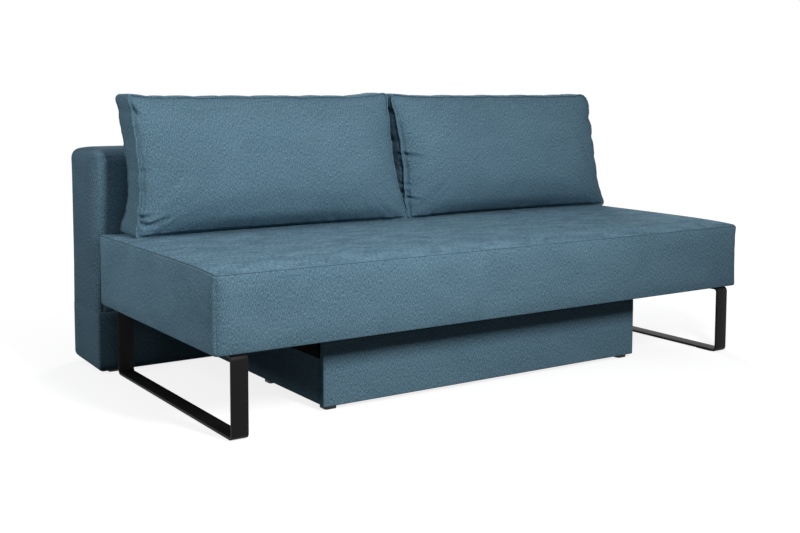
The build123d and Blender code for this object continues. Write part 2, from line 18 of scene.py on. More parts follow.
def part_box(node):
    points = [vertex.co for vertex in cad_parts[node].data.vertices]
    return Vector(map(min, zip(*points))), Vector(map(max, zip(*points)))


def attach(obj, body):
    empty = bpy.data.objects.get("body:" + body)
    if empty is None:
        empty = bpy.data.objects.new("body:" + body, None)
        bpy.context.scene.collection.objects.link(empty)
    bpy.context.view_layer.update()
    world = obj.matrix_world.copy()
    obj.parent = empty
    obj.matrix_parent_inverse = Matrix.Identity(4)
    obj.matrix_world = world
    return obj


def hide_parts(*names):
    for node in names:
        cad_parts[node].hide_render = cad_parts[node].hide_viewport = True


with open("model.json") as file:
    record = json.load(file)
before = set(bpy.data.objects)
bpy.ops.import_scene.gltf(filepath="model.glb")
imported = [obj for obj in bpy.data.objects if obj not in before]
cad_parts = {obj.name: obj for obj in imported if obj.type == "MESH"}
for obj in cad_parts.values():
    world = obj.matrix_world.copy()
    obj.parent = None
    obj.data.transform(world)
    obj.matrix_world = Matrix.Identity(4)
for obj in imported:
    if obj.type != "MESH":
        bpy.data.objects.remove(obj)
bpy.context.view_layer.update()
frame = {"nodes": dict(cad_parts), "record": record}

MM = 0.001
scene = bpy.context.scene

# %% [markdown]
# ## The camera
#
# The sofa was seen from its left front corner, at about the height of a seated person's eyes. The straight
# edges of the seat, the back and the legs give the place, the turn and the lens. The horizon is a little
# above the middle, so a small part of the tilt is taken by the lens shift, which keeps the uprights
# upright.

# %% Camera
EYE = (-2.2009, -3.2174, 0.9244)
YAW, PITCH, ROLL = 33.696, -4.984, 0.160
LENS = 51.377
SHIFT = -0.10

camera_data = bpy.data.cameras.new("camera")
camera_data.sensor_width = 36.0
camera_data.lens = LENS
camera_data.shift_y = SHIFT
camera = bpy.data.objects.new("camera", camera_data)
aim = Matrix.Rotation(math.radians(-YAW), 4, "Z") @ Matrix.Rotation(math.radians(90 + PITCH), 4, "X")
camera.matrix_world = Matrix.Translation(EYE) @ aim @ Matrix.Rotation(math.radians(ROLL), 4, "Z")
scene.collection.objects.link(camera)
scene.camera = camera
print("camera at", EYE, "lens", LENS)

# %% [markdown]
# ## Colours and nodes
#
# Colours are written as they look on a screen, as sRGB hex values. Blender works in linear light, so one
# function turns them. A second small function adds a node, sets it and links it, so that a material reads
# as a short list.


# %% Colour and node helpers
def linear(code):
    """Linear colour of an sRGB hex value."""
    parts = [int(code[k:k + 2], 16) / 255 for k in (1, 3, 5)]
    return [c / 12.92 if c <= 0.04045 else ((c + 0.055) / 1.055) ** 2.4 for c in parts] + [1.0]


def add(tree, kind, links=None, **settings):
    """Add a node: settings are its properties, links its inputs, each a socket to join or a value to set."""
    node = tree.nodes.new(kind)
    for name, value in settings.items():
        setattr(node, name, value)
    for name, value in (links or {}).items():
        socket = node.inputs[name]
        if isinstance(value, bpy.types.NodeSocket):
            tree.links.new(value, socket)
        else:
            socket.default_value = value
    return node


def new_material(name):
    """Empty node material."""
    material = bpy.data.materials.new(name)
    material.use_nodes = True
    material.node_tree.nodes.clear()
    return material, material.node_tree


# %% [markdown]
# ## The studio
#
# A wide soft box overhead lights the tops. A small, strong one stands in front and points at the left half,
# so that the front is as bright as the top and the cushions throw a shadow on the back. A weak one fills
# the left end, and a last one lights the rear, which the main view does not see. The eye sees a white floor
# and a white room, but the light that bounces is much weaker, so the space under the seat stays dark.

# %% Studio
FLOOR_SIZE = 30.0
FLOOR_SHOWN, FLOOR_BOUNCE = 0.30, 0.10
FLOOR_GLOW, FLOOR_NEAR, FLOOR_FADE = 0.83, 1.2, 4.5
SKY = 0.075
# Each soft box: name, place, target, width and height in metres, and power in watts.
SOFT_BOXES = (
    ("soft_box_top", (0.0, -0.5, 3.1), (0.0, -0.1, 0.0), (4.0, 3.0), 18),
    ("soft_box_front", (-0.40, -2.5, 1.80), (-1.15, 0.0, 0.45), (0.30, 0.7), 58.5),
    ("soft_box_left", (-2.6, 0.1, 1.30), (-1.0, 0.0, 0.4), (0.6, 0.6), 13),
    ("soft_box_rear", (1.9, 2.9, 1.9), (0.2, 0.4, 0.4), (1.6, 1.2), 70),
)


def area_light(name, place, target, size, power):
    """Rectangular soft box that faces a target."""
    data = bpy.data.lights.new(name, "AREA")
    data.shape = "RECTANGLE"
    data.size, data.size_y = size
    data.energy = power
    light = bpy.data.objects.new(name, data)
    turn = (Vector(target) - Vector(place)).to_track_quat("-Z", "Y")
    light.matrix_world = Matrix.Translation(place) @ turn.to_matrix().to_4x4()
    scene.collection.objects.link(light)


def shown_rays(tree):
    """One for a ray that the eye follows, also in a mirror or through glass, and zero for bounced light."""
    rays = add(tree, "ShaderNodeLightPath").outputs
    seen = rays["Is Camera Ray"]
    for kind in ("Is Glossy Ray", "Is Transmission Ray"):
        seen = add(tree, "ShaderNodeMath", {0: seen, 1: rays[kind]}, operation="MAXIMUM").outputs[0]
    return seen


def studio_floor():
    """Wide floor that is white to the eye and dim to the light that bounces."""
    material, tree = new_material("studio_floor_paint")
    dim = add(tree, "ShaderNodeBsdfDiffuse", {"Color": [FLOOR_BOUNCE] * 3 + [1]})
    paint = add(tree, "ShaderNodeBsdfDiffuse", {"Color": [FLOOR_SHOWN] * 3 + [1]})
    place = add(tree, "ShaderNodeTexCoord").outputs["Object"]
    away = add(tree, "ShaderNodeVectorMath", {0: place}, operation="LENGTH").outputs["Value"]
    level = add(tree, "ShaderNodeMapRange", {"Value": away, "From Min": FLOOR_NEAR, "From Max": FLOOR_FADE,
                                             "To Min": FLOOR_GLOW, "To Max": 1.0}).outputs[0]
    glow = add(tree, "ShaderNodeEmission", {"Color": [1, 1, 1, 1], "Strength": level})
    white = add(tree, "ShaderNodeAddShader", {0: paint.outputs[0], 1: glow.outputs[0]})
    mix = add(tree, "ShaderNodeMixShader", {0: shown_rays(tree), 1: dim.outputs[0], 2: white.outputs[0]})
    add(tree, "ShaderNodeOutputMaterial", {"Surface": mix.outputs[0]})
    mesh = bpy.data.meshes.new("studio_floor")
    half = FLOOR_SIZE / 2
    corners = [(-half, -half, 0), (half, -half, 0), (half, half, 0), (-half, half, 0)]
    mesh.from_pydata(corners, [], [(0, 1, 2, 3)])
    mesh.materials.append(material)
    floor = bpy.data.objects.new("studio_floor", mesh)
    scene.collection.objects.link(floor)


def studio_room():
    """World that is white to the eye and gives a weak even light."""
    world = bpy.data.worlds.new("studio_room")
    world.use_nodes = True
    tree = world.node_tree
    tree.nodes.clear()
    light = add(tree, "ShaderNodeBackground", {"Color": linear("#f4f7ff"), "Strength": SKY})
    white = add(tree, "ShaderNodeBackground", {"Color": [1, 1, 1, 1], "Strength": 1.0})
    mix = add(tree, "ShaderNodeMixShader", {0: shown_rays(tree), 1: light.outputs[0], 2: white.outputs[0]})
    add(tree, "ShaderNodeOutputWorld", {"Surface": mix.outputs[0]})
    scene.world = world


studio_floor()
studio_room()
scene.view_settings.view_transform = "Standard"
for soft_box in SOFT_BOXES:
    area_light(*soft_box)
print("studio lit by", len(SOFT_BOXES), "soft boxes")

# %% [markdown]
# ## Upholstery fabric
#
# The cover is a flat-woven chenille: a soft blue-grey yarn over a darker one, so the colour is mottled in
# short upright streaks, and the brushed surface shows lighter and darker strokes. The yarns are about 0.7
# mm apart, too fine for the picture, so the streaks are drawn about 1.5 mm wide and 7 mm long, and wider on
# the seat's top, which is seen at a flat angle. The bands of the weave are coarser too, and only in the
# bump. Each piece carries a UV map in metres that follows its own panels, with the warp upright. The seat's
# top has a cloth of its own, brushed more. The seat's ends get a copy of the cloth painted lighter, as
# painted light, and the back and the rear base a copy painted darker, as painted shade.

# %% Chenille
CHENILLE_TONES = ((0.40, linear("#47616f")), (0.50, linear("#5d7d8f")), (0.60, linear("#7898a9")))
YARN = 0.7 * MM
STREAK, STREAK_STRETCH = 1.5 * MM, 5.0
TOP_STREAK, TOP_STRETCH = 2.4 * MM, 9.0
WEFT, WEFT_STRETCH = 1.5 * MM, 3.0
NAP, TOP_NAP = 130.0 * MM, 60.0 * MM
WAVE_TURNS = 20  # radians in one unit of Blender's wave, which makes the bands 2 pi yarns apart


def chenille(name, brushing, painted_lightness=1.0, nap_size=NAP, width=STREAK, stretch=STREAK_STRETCH):
    """Upholstery chenille, mottled in upright streaks, with a share of brushed strokes."""
    material, tree = new_material(name)
    uv = add(tree, "ShaderNodeUVMap", uv_map="panels").outputs[0]
    upright = add(tree, "ShaderNodeMapping", {"Vector": uv, "Scale": (1.0, 1 / stretch, 1.0)}).outputs[0]
    streak = add(tree, "ShaderNodeTexNoise", {"Vector": upright, "Scale": 1 / width,
                                              "Detail": 1.0}).outputs["Fac"]
    level = add(tree, "ShaderNodeMapping", {"Vector": uv, "Scale": (1 / WEFT_STRETCH, 1.0, 1.0)}).outputs[0]
    weft = add(tree, "ShaderNodeTexNoise", {"Vector": level, "Scale": 1 / WEFT, "Detail": 1.0}).outputs["Fac"]
    brushed = add(tree, "ShaderNodeMapping", {"Vector": uv, "Scale": (0.6, 1.0, 1.0)}).outputs[0]
    nap = add(tree, "ShaderNodeTexNoise", {"Vector": brushed, "Scale": 1 / nap_size, "Detail": 5.0,
                                           "Roughness": 0.62, "Distortion": 0.8}).outputs["Fac"]
    both = add(tree, "ShaderNodeMix", {"Factor": 0.42, "A": streak, "B": weft}, data_type="FLOAT").outputs[0]
    tone = add(tree, "ShaderNodeMix", {"Factor": brushing, "A": both, "B": nap}, data_type="FLOAT").outputs[0]
    ramp = add(tree, "ShaderNodeValToRGB", {"Fac": tone})
    stops = ramp.color_ramp.elements
    stops.new(0.5)
    for stop, (place, colour) in zip(stops, CHENILLE_TONES):
        # A lightness over one paints light into the cloth's tones, and one under one paints shade.
        stop.position, stop.color = place, [painted_lightness * part for part in colour[:3]] + [1.0]
    weave = add(tree, "ShaderNodeTexWave", {"Vector": uv, "Scale": 1 / (YARN * WAVE_TURNS), "Distortion": 1.5,
                                            "Detail": 2.0}, bands_direction="Y").outputs["Fac"]
    height = add(tree, "ShaderNodeMix", {"Factor": 0.4, "A": both, "B": weave}, data_type="FLOAT").outputs[0]
    bump = add(tree, "ShaderNodeBump", {"Height": height, "Strength": 0.12, "Distance": 0.6 * MM})
    rough = add(tree, "ShaderNodeMapRange", {"Value": streak, "To Min": 0.84, "To Max": 0.97}).outputs[0]
    shader = add(tree, "ShaderNodeBsdfPrincipled", {
        "Base Color": ramp.outputs[0], "Roughness": rough, "Normal": bump.outputs[0],
        "Specular IOR Level": 0.05, "Sheen Weight": 0.08, "Sheen Roughness": 0.5,
        "Sheen Tint": linear("#a9c3d3")})
    add(tree, "ShaderNodeOutputMaterial", {"Surface": shader.outputs[0]})
    return material


# The same cloth four times: plain, brushed by sitting, painted lighter as painted light, and painted darker
# as painted shade.
fabric = chenille("woven_chenille", 0.10)
top_fabric = chenille("woven_chenille_brushed", 0.30, nap_size=TOP_NAP, width=TOP_STREAK, stretch=TOP_STRETCH)
end_fabric_painted_light = chenille("woven_chenille_pile_up", 0.14, 1.33)
back_fabric_painted_shade = chenille("woven_chenille_pile_down", 0.10, 0.87)
print("fabrics", [cloth.name for cloth in (fabric, top_fabric, end_fabric_painted_light, back_fabric_painted_shade)])


# %% [markdown]
# ## Panels of cloth: UV and finishing helpers
#
# A cut panel of cloth keeps its yarns straight, so each face takes its UV from the direction that it looks
# in: tops from above, fronts from the front, ends from the side. One unit of UV is one metre. Tops and ends
# are shifted, so that they don't show the same stretch of pattern as the front.

# %% Finishing helpers
TOP_SHIFT, END_SHIFT = 5.3, 3.1


def new_piece(name, points, faces, material, smooth=True):
    """Mesh object at the origin."""
    mesh = bpy.data.meshes.new(name)
    mesh.from_pydata([tuple(p) for p in points], [], [tuple(f) for f in faces])
    mesh.update()
    mesh.materials.append(material)
    mesh.polygons.foreach_set("use_smooth", [smooth] * len(mesh.polygons))
    piece = bpy.data.objects.new(name, mesh)
    scene.collection.objects.link(piece)
    return piece


def places_of(piece):
    """Vertices as an array."""
    points = np.zeros(len(piece.data.vertices) * 3)
    piece.data.vertices.foreach_get("co", points)
    return points.reshape(-1, 3)


def normals_of(piece):
    """Vertex normals as an array."""
    normals = np.zeros(len(piece.data.vertices) * 3)
    piece.data.vertices.foreach_get("normal", normals)
    return normals.reshape(-1, 3)


def move_to(piece, points):
    """Set the vertices from an array."""
    piece.data.vertices.foreach_set("co", np.asarray(points, float).ravel())
    piece.data.update()


def plain(piece):
    """Apply the piece's modifiers."""
    graph = bpy.context.evaluated_depsgraph_get()
    shape = piece.evaluated_get(graph)
    mesh = bpy.data.meshes.new_from_object(shape, preserve_all_data_layers=True, depsgraph=graph)
    old = piece.data
    piece.modifiers.clear()
    piece.data = mesh
    mesh.name = piece.name
    bpy.data.meshes.remove(old)
    return piece


def subdivided(piece):
    """One level of subdivision, applied."""
    rounding = piece.modifiers.new("rounding", "SUBSURF")
    rounding.levels = rounding.render_levels = 1
    return plain(piece)


def lay_panels(piece):
    """UV map in metres, from the direction that each face looks in."""
    mesh = piece.data
    layer = mesh.uv_layers.get("panels") or mesh.uv_layers.new(name="panels")
    points = places_of(piece)
    normals = np.zeros(len(mesh.polygons) * 3)
    mesh.polygons.foreach_get("normal", normals)
    facing = np.abs(normals.reshape(-1, 3)).argmax(1)
    totals = np.zeros(len(mesh.polygons), int)
    mesh.polygons.foreach_get("loop_total", totals)
    corners = np.zeros(len(mesh.loops), int)
    mesh.loops.foreach_get("vertex_index", corners)
    way = np.repeat(facing, totals)
    place = points[corners]
    u = np.where(way == 0, place[:, 1] + END_SHIFT, place[:, 0])
    v = np.where(way == 2, place[:, 1] + TOP_SHIFT, place[:, 2])
    layer.data.foreach_set("uv", np.stack([u, v], 1).ravel())
    return piece


def dress(piece, body, nodes):
    """Ride on a body and stand for CAD nodes."""
    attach(piece, body)
    if nodes:
        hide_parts(*nodes)
    print(piece.name, "on", body, len(piece.data.polygons), "faces")
    return piece


# %% [markdown]
# ## Sewn pads
#
# A boxed pad has a face panel, a band round its sides and a bottom, sewn along the edges. It could be a
# rounded cube, but then the yarns and the seams would not follow the panels. Here each pad is a stack of
# closed rings with a panel over each end. Rings crowd together at a seam, so that the seam can be drawn in
# after the pad is blown up.


# %% Ring and panel helpers
def rounded_ring(half_u, half_v, radii, counts):
    """Closed rounded rectangle of points, counted from the middle of its first corner arc (+u, -v)."""
    count_u, count_v, count_c = counts
    points = []
    corners = ((1, -1, -90), (1, 1, 0), (-1, 1, 90), (-1, -1, 180))
    for k, (su, sv, turn) in enumerate(corners):
        radius = radii[k]
        centre = np.array([su * (half_u - radius), sv * (half_v - radius)])
        for step in range(count_c + 1):
            angle = math.radians(turn + 90 * step / count_c)
            points.append(centre + radius * np.array([math.cos(angle), math.sin(angle)]))
        nu, nv, _ = corners[(k + 1) % 4]
        after = radii[(k + 1) % 4]
        angle = math.radians(turn + 90)
        end = np.array([nu * (half_u - after), nv * (half_v - after)])
        end = end + after * np.array([math.cos(angle), math.sin(angle)])
        count = count_v if k % 2 == 0 else count_u
        start = points[-1]
        points += [start + (end - start) * step / count for step in range(1, count)]
    half = count_c // 2
    return np.array(points[half:] + points[:half])


def profile_rings(half_u, half_v, radii, counts, profile):
    """A ring for each (inset, height) of a profile, as points of (u, v, height)."""
    rings = []
    for inset, height in profile:
        drawn = [max(radius - inset, 3 * MM) for radius in radii]
        ring = rounded_ring(half_u - inset, half_v - inset, drawn, counts)
        rings.append(np.column_stack([ring, np.full(len(ring), height)]))
    return rings


def arc_profile(radius, degrees, inset, height, rising):
    """Profile points on a rounded edge, from the side to the face when rising, else the other way."""
    points = []
    for angle in degrees:
        turn = math.radians(angle)
        out, up = radius * (1 - math.cos(turn)), radius * math.sin(turn)
        points.append((inset + out, height + up - radius) if rising else (inset + out, height + radius - up))
    return points


def ring_counts(half_u, half_v, radius, cell, count_c):
    """How many cells of a given size each side of a ring takes, and each corner arc."""
    count_u, count_v = (max(2, round(2 * (half - radius) / cell)) for half in (half_u, half_v))
    return count_u, count_v, count_c


def panel_sides(counts):
    """Cells along the v sides and the u sides of a ring, corner arcs shared out."""
    return counts[1] + counts[2], counts[0] + counts[2]


def panel_over(ring, sides):
    """Inner points of a grid inside a ring of four sides, and the grid of indices into ring + inner."""
    n_v, n_u = sides
    side = [ring[0:n_v + 1], ring[n_v:n_v + n_u + 1], ring[n_v + n_u:2 * n_v + n_u + 1]]
    side.append(np.vstack([ring[2 * n_v + n_u:], ring[:1]]))
    right, top, left, bottom = side[0], side[1][::-1], side[2][::-1], side[3]
    u = np.linspace(0, 1, n_u + 1)[None, :, None]
    v = np.linspace(0, 1, n_v + 1)[:, None, None]
    across = (1 - u) * left[:, None] + u * right[:, None]
    upward = (1 - v) * bottom[None] + v * top[None]
    twist = ((1 - u) * (1 - v) * bottom[0] + u * (1 - v) * bottom[-1]
             + (1 - u) * v * top[0] + u * v * top[-1])
    grid = across + upward - twist
    index = np.full((n_v + 1, n_u + 1), -1)
    index[:, -1] = np.arange(0, n_v + 1)
    index[-1, ::-1] = np.arange(n_v, n_v + n_u + 1)
    index[::-1, 0] = np.arange(n_v + n_u, 2 * n_v + n_u + 1)
    total = 2 * (n_v + n_u)
    index[0, :] = np.arange(2 * n_v + n_u, 2 * n_v + 2 * n_u + 1) % total
    inner = grid[1:-1, 1:-1].reshape(-1, grid.shape[2])
    index[1:-1, 1:-1] = total + np.arange(len(inner)).reshape(n_v - 1, n_u - 1)
    return inner, index


def panel_quads(index):
    """Faces of a grid of indices."""
    corners = [index[:-1, :-1], index[:-1, 1:], index[1:, 1:], index[1:, :-1]]
    return [tuple(quad) for quad in np.stack(corners, -1).reshape(-1, 4)]


def band_faces(total, count, closed=True):
    """Faces between rows of equal count."""
    faces = []
    for k in range(count - 1):
        for i in range(total if closed else total - 1):
            j = (i + 1) % total
            faces.append((k * total + i, k * total + j, (k + 1) * total + j, (k + 1) * total + i))
    return faces


def ring_rows(rings):
    """Vertex numbers of each ring."""
    total = len(rings[0])
    return [np.arange(total * k, total * (k + 1)) for k in range(len(rings))]


def ring_stack(rings, sides):
    """Points and faces of a closed pad: rings of equal count, with a panel over the first and the last."""
    total = len(rings[0])
    points, faces = [np.vstack(rings)], band_faces(total, len(rings))
    start = total * len(rings)
    for ring_number, outward in ((0, False), (len(rings) - 1, True)):
        inner, index = panel_over(rings[ring_number], sides)
        lookup = np.where(index < total, index + ring_number * total, index - total + start)
        points.append(inner)
        start += len(inner)
        faces += [quad if outward else quad[::-1] for quad in panel_quads(lookup)]
    return np.vstack(points), faces


# %% [markdown]
# ## Blowing up a pad
#
# Foam and fibre push a cover out until the cloth is tight. Blender's Cloth does the same with pressure and
# no gravity. Seams hold, so their rings are pinned, and each point's travel is capped, less for firm foam
# and more for a loose cushion.


# %% Cloth helper
def blow_up(piece, held, pressure, cap, grow=0.0, frames=14, stiffness=15.0, bending=0.5):
    """Swell a closed pad with Cloth pressure; held vertices stay, and no point moves further than the cap."""
    start = places_of(piece)
    group = piece.vertex_groups.new(name="seams")
    group.add([int(k) for k in held], 1.0, "REPLACE")
    cloth = piece.modifiers.new("fill", "CLOTH")
    settings = cloth.settings
    settings.quality = 4
    settings.mass = 0.3
    settings.use_pressure = True
    settings.uniform_pressure_force = pressure
    settings.tension_stiffness = settings.compression_stiffness = stiffness
    settings.shear_stiffness = stiffness / 3
    settings.bending_stiffness = bending
    settings.air_damping = 4.0
    settings.effector_weights.gravity = 0.0
    settings.vertex_group_mass = group.name
    settings.shrink_min = -grow
    cloth.collision_settings.use_collision = False
    cloth.collision_settings.use_self_collision = False
    cloth.point_cache.frame_start, cloth.point_cache.frame_end = 1, frames
    for number in range(1, frames + 1):
        scene.frame_set(number)
    graph = bpy.context.evaluated_depsgraph_get()
    shape = piece.evaluated_get(graph).data
    end = np.zeros(len(shape.vertices) * 3)
    shape.vertices.foreach_get("co", end)
    piece.modifiers.remove(cloth)
    piece.vertex_groups.remove(group)
    scene.frame_set(1)
    travel = end.reshape(-1, 3) - start
    length = np.linalg.norm(travel, axis=1, keepdims=True) + 1e-9
    move_to(piece, start + travel / length * cap * np.tanh(length / cap))
    print(piece.name, "swelled by up to", round(float(length.max() / MM), 1), "mm before the cap")
    return piece


# %% [markdown]
# ## The seat
#
# The seat is a firm foam block on slats, in a cover of a top panel and a band. The only seam that shows
# runs round the top edge, where panel and band meet: a fine dark line, the shade in the sunk seam, painted
# with a dark cord. The top panel rises quickly from that seam, because the foam is cut a little too thick
# for its cover. The seam and the underside are held, and the pressure swells the rest.

# %% Seat
CELL = 17 * MM
SEAT_LOW, SEAT_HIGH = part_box("seat_cover")
SEAT_START = 1 * MM
SEAT_PLUMP, SEAT_SWELL, SEAT_END_RISE = 11 * MM, 5 * MM, 10 * MM
# How fast the top rises from its seams, how the end edges rise behind the front, and how deep that reaches.
PLUMP_END, PLUMP_FRONT = 30 * MM, 45 * MM
RISE_ALONG, RISE_ACROSS = 90 * MM, 120 * MM
RISE_BAND, RISE_START = 70 * MM, 1.15
SEAT_TOP_ROUND, SEAT_FOOT_ROUND = 10 * MM, 7 * MM
SEAT_CORNERS = (16 * MM, 8 * MM, 8 * MM, 16 * MM)
UNDER_INSET = 40 * MM
FOAM_PRESSURE = 4.0
SEAT_SEAM_DEPTH = 5 * MM
FACING = 0.7


def draw_in(piece, rows, depth):
    """Draw rows of vertices into the pad, each by its own share of a depth."""
    points, normals = places_of(piece), normals_of(piece)
    for row, share in rows:
        points[row] -= normals[row] * depth * share
    move_to(piece, points)


def by_facing(piece, top, end):
    """Give the panel that looks up one cloth and the two that look sideways another."""
    for material in (top, end):
        piece.data.materials.append(material)
    for face in piece.data.polygons:
        sideways = abs(face.normal.x) > FACING
        face.material_index = 1 if face.normal.z > FACING else 2 if sideways else 0
    return piece


def make_seat():
    """Padded seat block with a seam round its top edge."""
    half_u = SEAT_HIGH.x - SEAT_START
    half_v = (SEAT_HIGH.y - SEAT_LOW.y) / 2 - SEAT_START
    middle_y = (SEAT_HIGH.y + SEAT_LOW.y) / 2
    edge = [0, 15, 27, 36, 45, 54, 63, 75, 90]
    low = arc_profile(SEAT_FOOT_ROUND, [90, 60, 30, 0], 0, SEAT_LOW.z, False)
    high = arc_profile(SEAT_TOP_ROUND, edge, 0, SEAT_HIGH.z, True)
    side = np.linspace(low[-1][1], high[0][1], 14)[1:-1]
    profile = [(UNDER_INSET, SEAT_LOW.z)] + low + [(0, height) for height in side] + high
    counts = ring_counts(half_u, half_v, max(SEAT_CORNERS), CELL, 4)
    rings = profile_rings(half_u, half_v, SEAT_CORNERS, counts, profile)
    points, faces = ring_stack(rings, panel_sides(counts))
    from_end = np.clip(half_u - SEAT_TOP_ROUND - np.abs(points[:, 0]), 0, None)
    from_front = np.clip(half_v - SEAT_TOP_ROUND - np.abs(points[:, 1]), 0, None)
    plump = (1 - np.exp(-from_end / PLUMP_END)) * (1 - np.exp(-from_front / PLUMP_FRONT))
    along = np.clip(points[:, 1] + half_v, 0, None)
    proud = SEAT_END_RISE * (1 - np.exp(-along / RISE_ALONG)) * np.exp(-from_end / RISE_ACROSS) * (1 - plump)
    upper = np.clip((points[:, 2] - SEAT_HIGH.z) / RISE_BAND + RISE_START, 0, 1)
    points[:, 2] += upper * (SEAT_PLUMP * plump + proud)
    points[:, 1] += middle_y
    piece = new_piece("seat_upholstery", points, faces, fabric)
    seam, rows = len(profile) - len(edge) + edge.index(45), ring_rows(rings)
    under = np.where(points[:, 2] < SEAT_LOW.z + 2 * MM)[0]
    held = np.concatenate([under, rows[seam - 1], rows[seam], rows[seam + 1]])
    blow_up(piece, held, pressure=FOAM_PRESSURE, cap=SEAT_SWELL)
    draw_in(piece, [(rows[seam], 1.0), (rows[seam - 1], 0.15), (rows[seam + 1], 0.15)], SEAT_SEAM_DEPTH)
    subdivided(piece)
    # The seat's ends take the cloth painted lighter: painted light.
    return by_facing(lay_panels(piece), top_fabric, end_fabric_painted_light), places_of(piece)[rows[seam]]


seat, seat_seam = make_seat()
dress(seat, "seat", ["seat_cover", "seat_foam"])

# %% [markdown]
# ## The back
#
# The back slab is made as the seat is, but its face panel looks forward and its seam runs just inside the
# well rounded front edge. Towards the foot the slab gets squarer, because it stands on the rear base. The
# two slots for the lift arms are cut last, with a Boolean, from the rear and the underside.

# %% Back
BACK_LOW, BACK_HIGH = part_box("back_cover")
BACK_START, BACK_WIDER = 1 * MM, 5 * MM
BACK_CROWN = 6 * MM
BACK_FRONT_ROUND, BACK_REAR_ROUND = 40 * MM, 7 * MM
BACK_CORNERS = (3 * MM, 30 * MM, 30 * MM, 3 * MM)
BACK_FOOT_ROUND, BACK_FOOT_REACH = 1.2 * MM, 160 * MM
# Height over the foot, and the power of the rounding there: high is square, two is a circle.
BACK_SQUARE, BACK_ROUND = (20 * MM, 7.0), (140 * MM, 2.0)
REAR_INSET = 45 * MM
BACK_SEAM_DEPTH = 4 * MM
ARM_X = 665 * MM
CUT_PAST = 20 * MM
POCKET_HALF = 20.4 * MM
POCKET_DEEP, POCKET_TOP = 422.0 * MM, 416.4 * MM


def block_piece(name, low, high):
    """Plain box used as a cutter."""
    points = [(x, y, z) for x in (low[0], high[0]) for y in (low[1], high[1]) for z in (low[2], high[2])]
    faces = [(0, 1, 3, 2), (4, 6, 7, 5), (0, 4, 5, 1), (2, 3, 7, 6), (0, 2, 6, 4), (1, 5, 7, 3)]
    return new_piece(name, points, faces, fabric, smooth=False)


def cut_for_arms(piece, half, near, far, low, high):
    """Cut away a box at each lift arm, of half a width, from y near to far and from z low to high."""
    cutters = [block_piece("arm_cutter", (x - half, near, low), (x + half, far, high))
               for x in (-ARM_X, ARM_X)]
    for cutter in cutters:
        carve = piece.modifiers.new("carve", "BOOLEAN")
        carve.operation = "DIFFERENCE"
        carve.solver = "EXACT"
        carve.object = cutter
    plain(piece)
    for cutter in cutters:
        bpy.data.objects.remove(cutter)
    return piece


def square_ends(points, half_u, front):
    """Square up the rounded upright edges towards the foot, where they stand on the rear base."""
    x, y, z = points.T
    out = np.clip((np.abs(x) - half_u) / BACK_FRONT_ROUND + 1, 0, 1)
    ahead = np.clip((front - y) / BACK_FRONT_ROUND + 1, 0, 1)
    power = np.interp(z - BACK_LOW.z, *zip(BACK_SQUARE, BACK_ROUND))
    grow = np.where((out > 0) & (ahead > 0), (out ** power + ahead ** power + 1e-12) ** (-1 / power), 1)
    grow = np.clip(grow, 1, 1.4)
    points[:, 0] += np.sign(x) * BACK_FRONT_ROUND * out * (grow - 1)
    points[:, 1] -= BACK_FRONT_ROUND * ahead * (grow - 1)


def make_back():
    """Padded back slab with two slots for the lift arms."""
    half_u = BACK_HIGH.x - BACK_START + BACK_WIDER
    half_v = (BACK_HIGH.z - BACK_LOW.z) / 2 - BACK_START / 2
    middle_z = (BACK_HIGH.z + BACK_LOW.z) / 2 - BACK_START / 2
    front = BACK_LOW.y + BACK_CROWN
    edge = [0, 15, 30, 45, 57, 63, 69, 80, 90]
    rear = arc_profile(BACK_REAR_ROUND, [90, 60, 30, 0], 0, -BACK_HIGH.y, False)
    face = arc_profile(BACK_FRONT_ROUND, edge, 0, -front, True)
    side = np.linspace(rear[-1][1], face[0][1], 14)[1:-1]
    profile = [(REAR_INSET, -BACK_HIGH.y)] + rear + [(0, height) for height in side] + face
    counts = ring_counts(half_u, half_v, max(BACK_CORNERS), CELL, 4)
    rings = profile_rings(half_u, half_v, BACK_CORNERS, counts, profile)
    points, faces = ring_stack(rings, panel_sides(counts))
    above = np.interp(points[:, 1] + half_v, [0, BACK_FRONT_ROUND, BACK_FOOT_REACH, 1.0],
                      [0, BACK_FOOT_ROUND, BACK_FOOT_REACH, 1.0])
    points = np.column_stack([points[:, 0], -points[:, 2], above - half_v + middle_z])
    square_ends(points, half_u, front)
    # The back takes the cloth painted darker: painted shade.
    piece = new_piece("back_upholstery", points, faces, back_fabric_painted_shade)
    seam, rows = len(profile) - len(edge) + edge.index(63), ring_rows(rings)
    still = (points[:, 1] > BACK_HIGH.y - 2 * MM) | (points[:, 2] < BACK_LOW.z + 2 * MM)
    held = np.concatenate([np.where(still)[0], rows[seam - 1], rows[seam], rows[seam + 1]])
    blow_up(piece, held, pressure=FOAM_PRESSURE, cap=BACK_CROWN)
    draw_in(piece, [(rows[seam], 1.0), (rows[seam - 1], 0.18), (rows[seam + 1], 0.18)], BACK_SEAM_DEPTH)
    cut_for_arms(subdivided(piece), POCKET_HALF, POCKET_DEEP, BACK_HIGH.y + CUT_PAST, BACK_LOW.z - CUT_PAST,
                 POCKET_TOP)
    return lay_panels(piece)


back = dress(make_back(), "back", ["back_cover", "back_foam", "back_webbing"])

# %% [markdown]
# ## The loose cushions
#
# Each cushion is a boxed bag of fibre: a front and a rear panel sewn to a narrow band (the gusset). The
# fibre has sunk, so the front panel has a belly low down that hangs over the foot seam, the sides draw in
# at half height, the corners stand up as ears and the feet of the two cushions push each other aside. That
# shape is drawn first, then the bag is blown up a little, a few folds that run from the seams are pressed
# in, and last it is flattened where it lies.

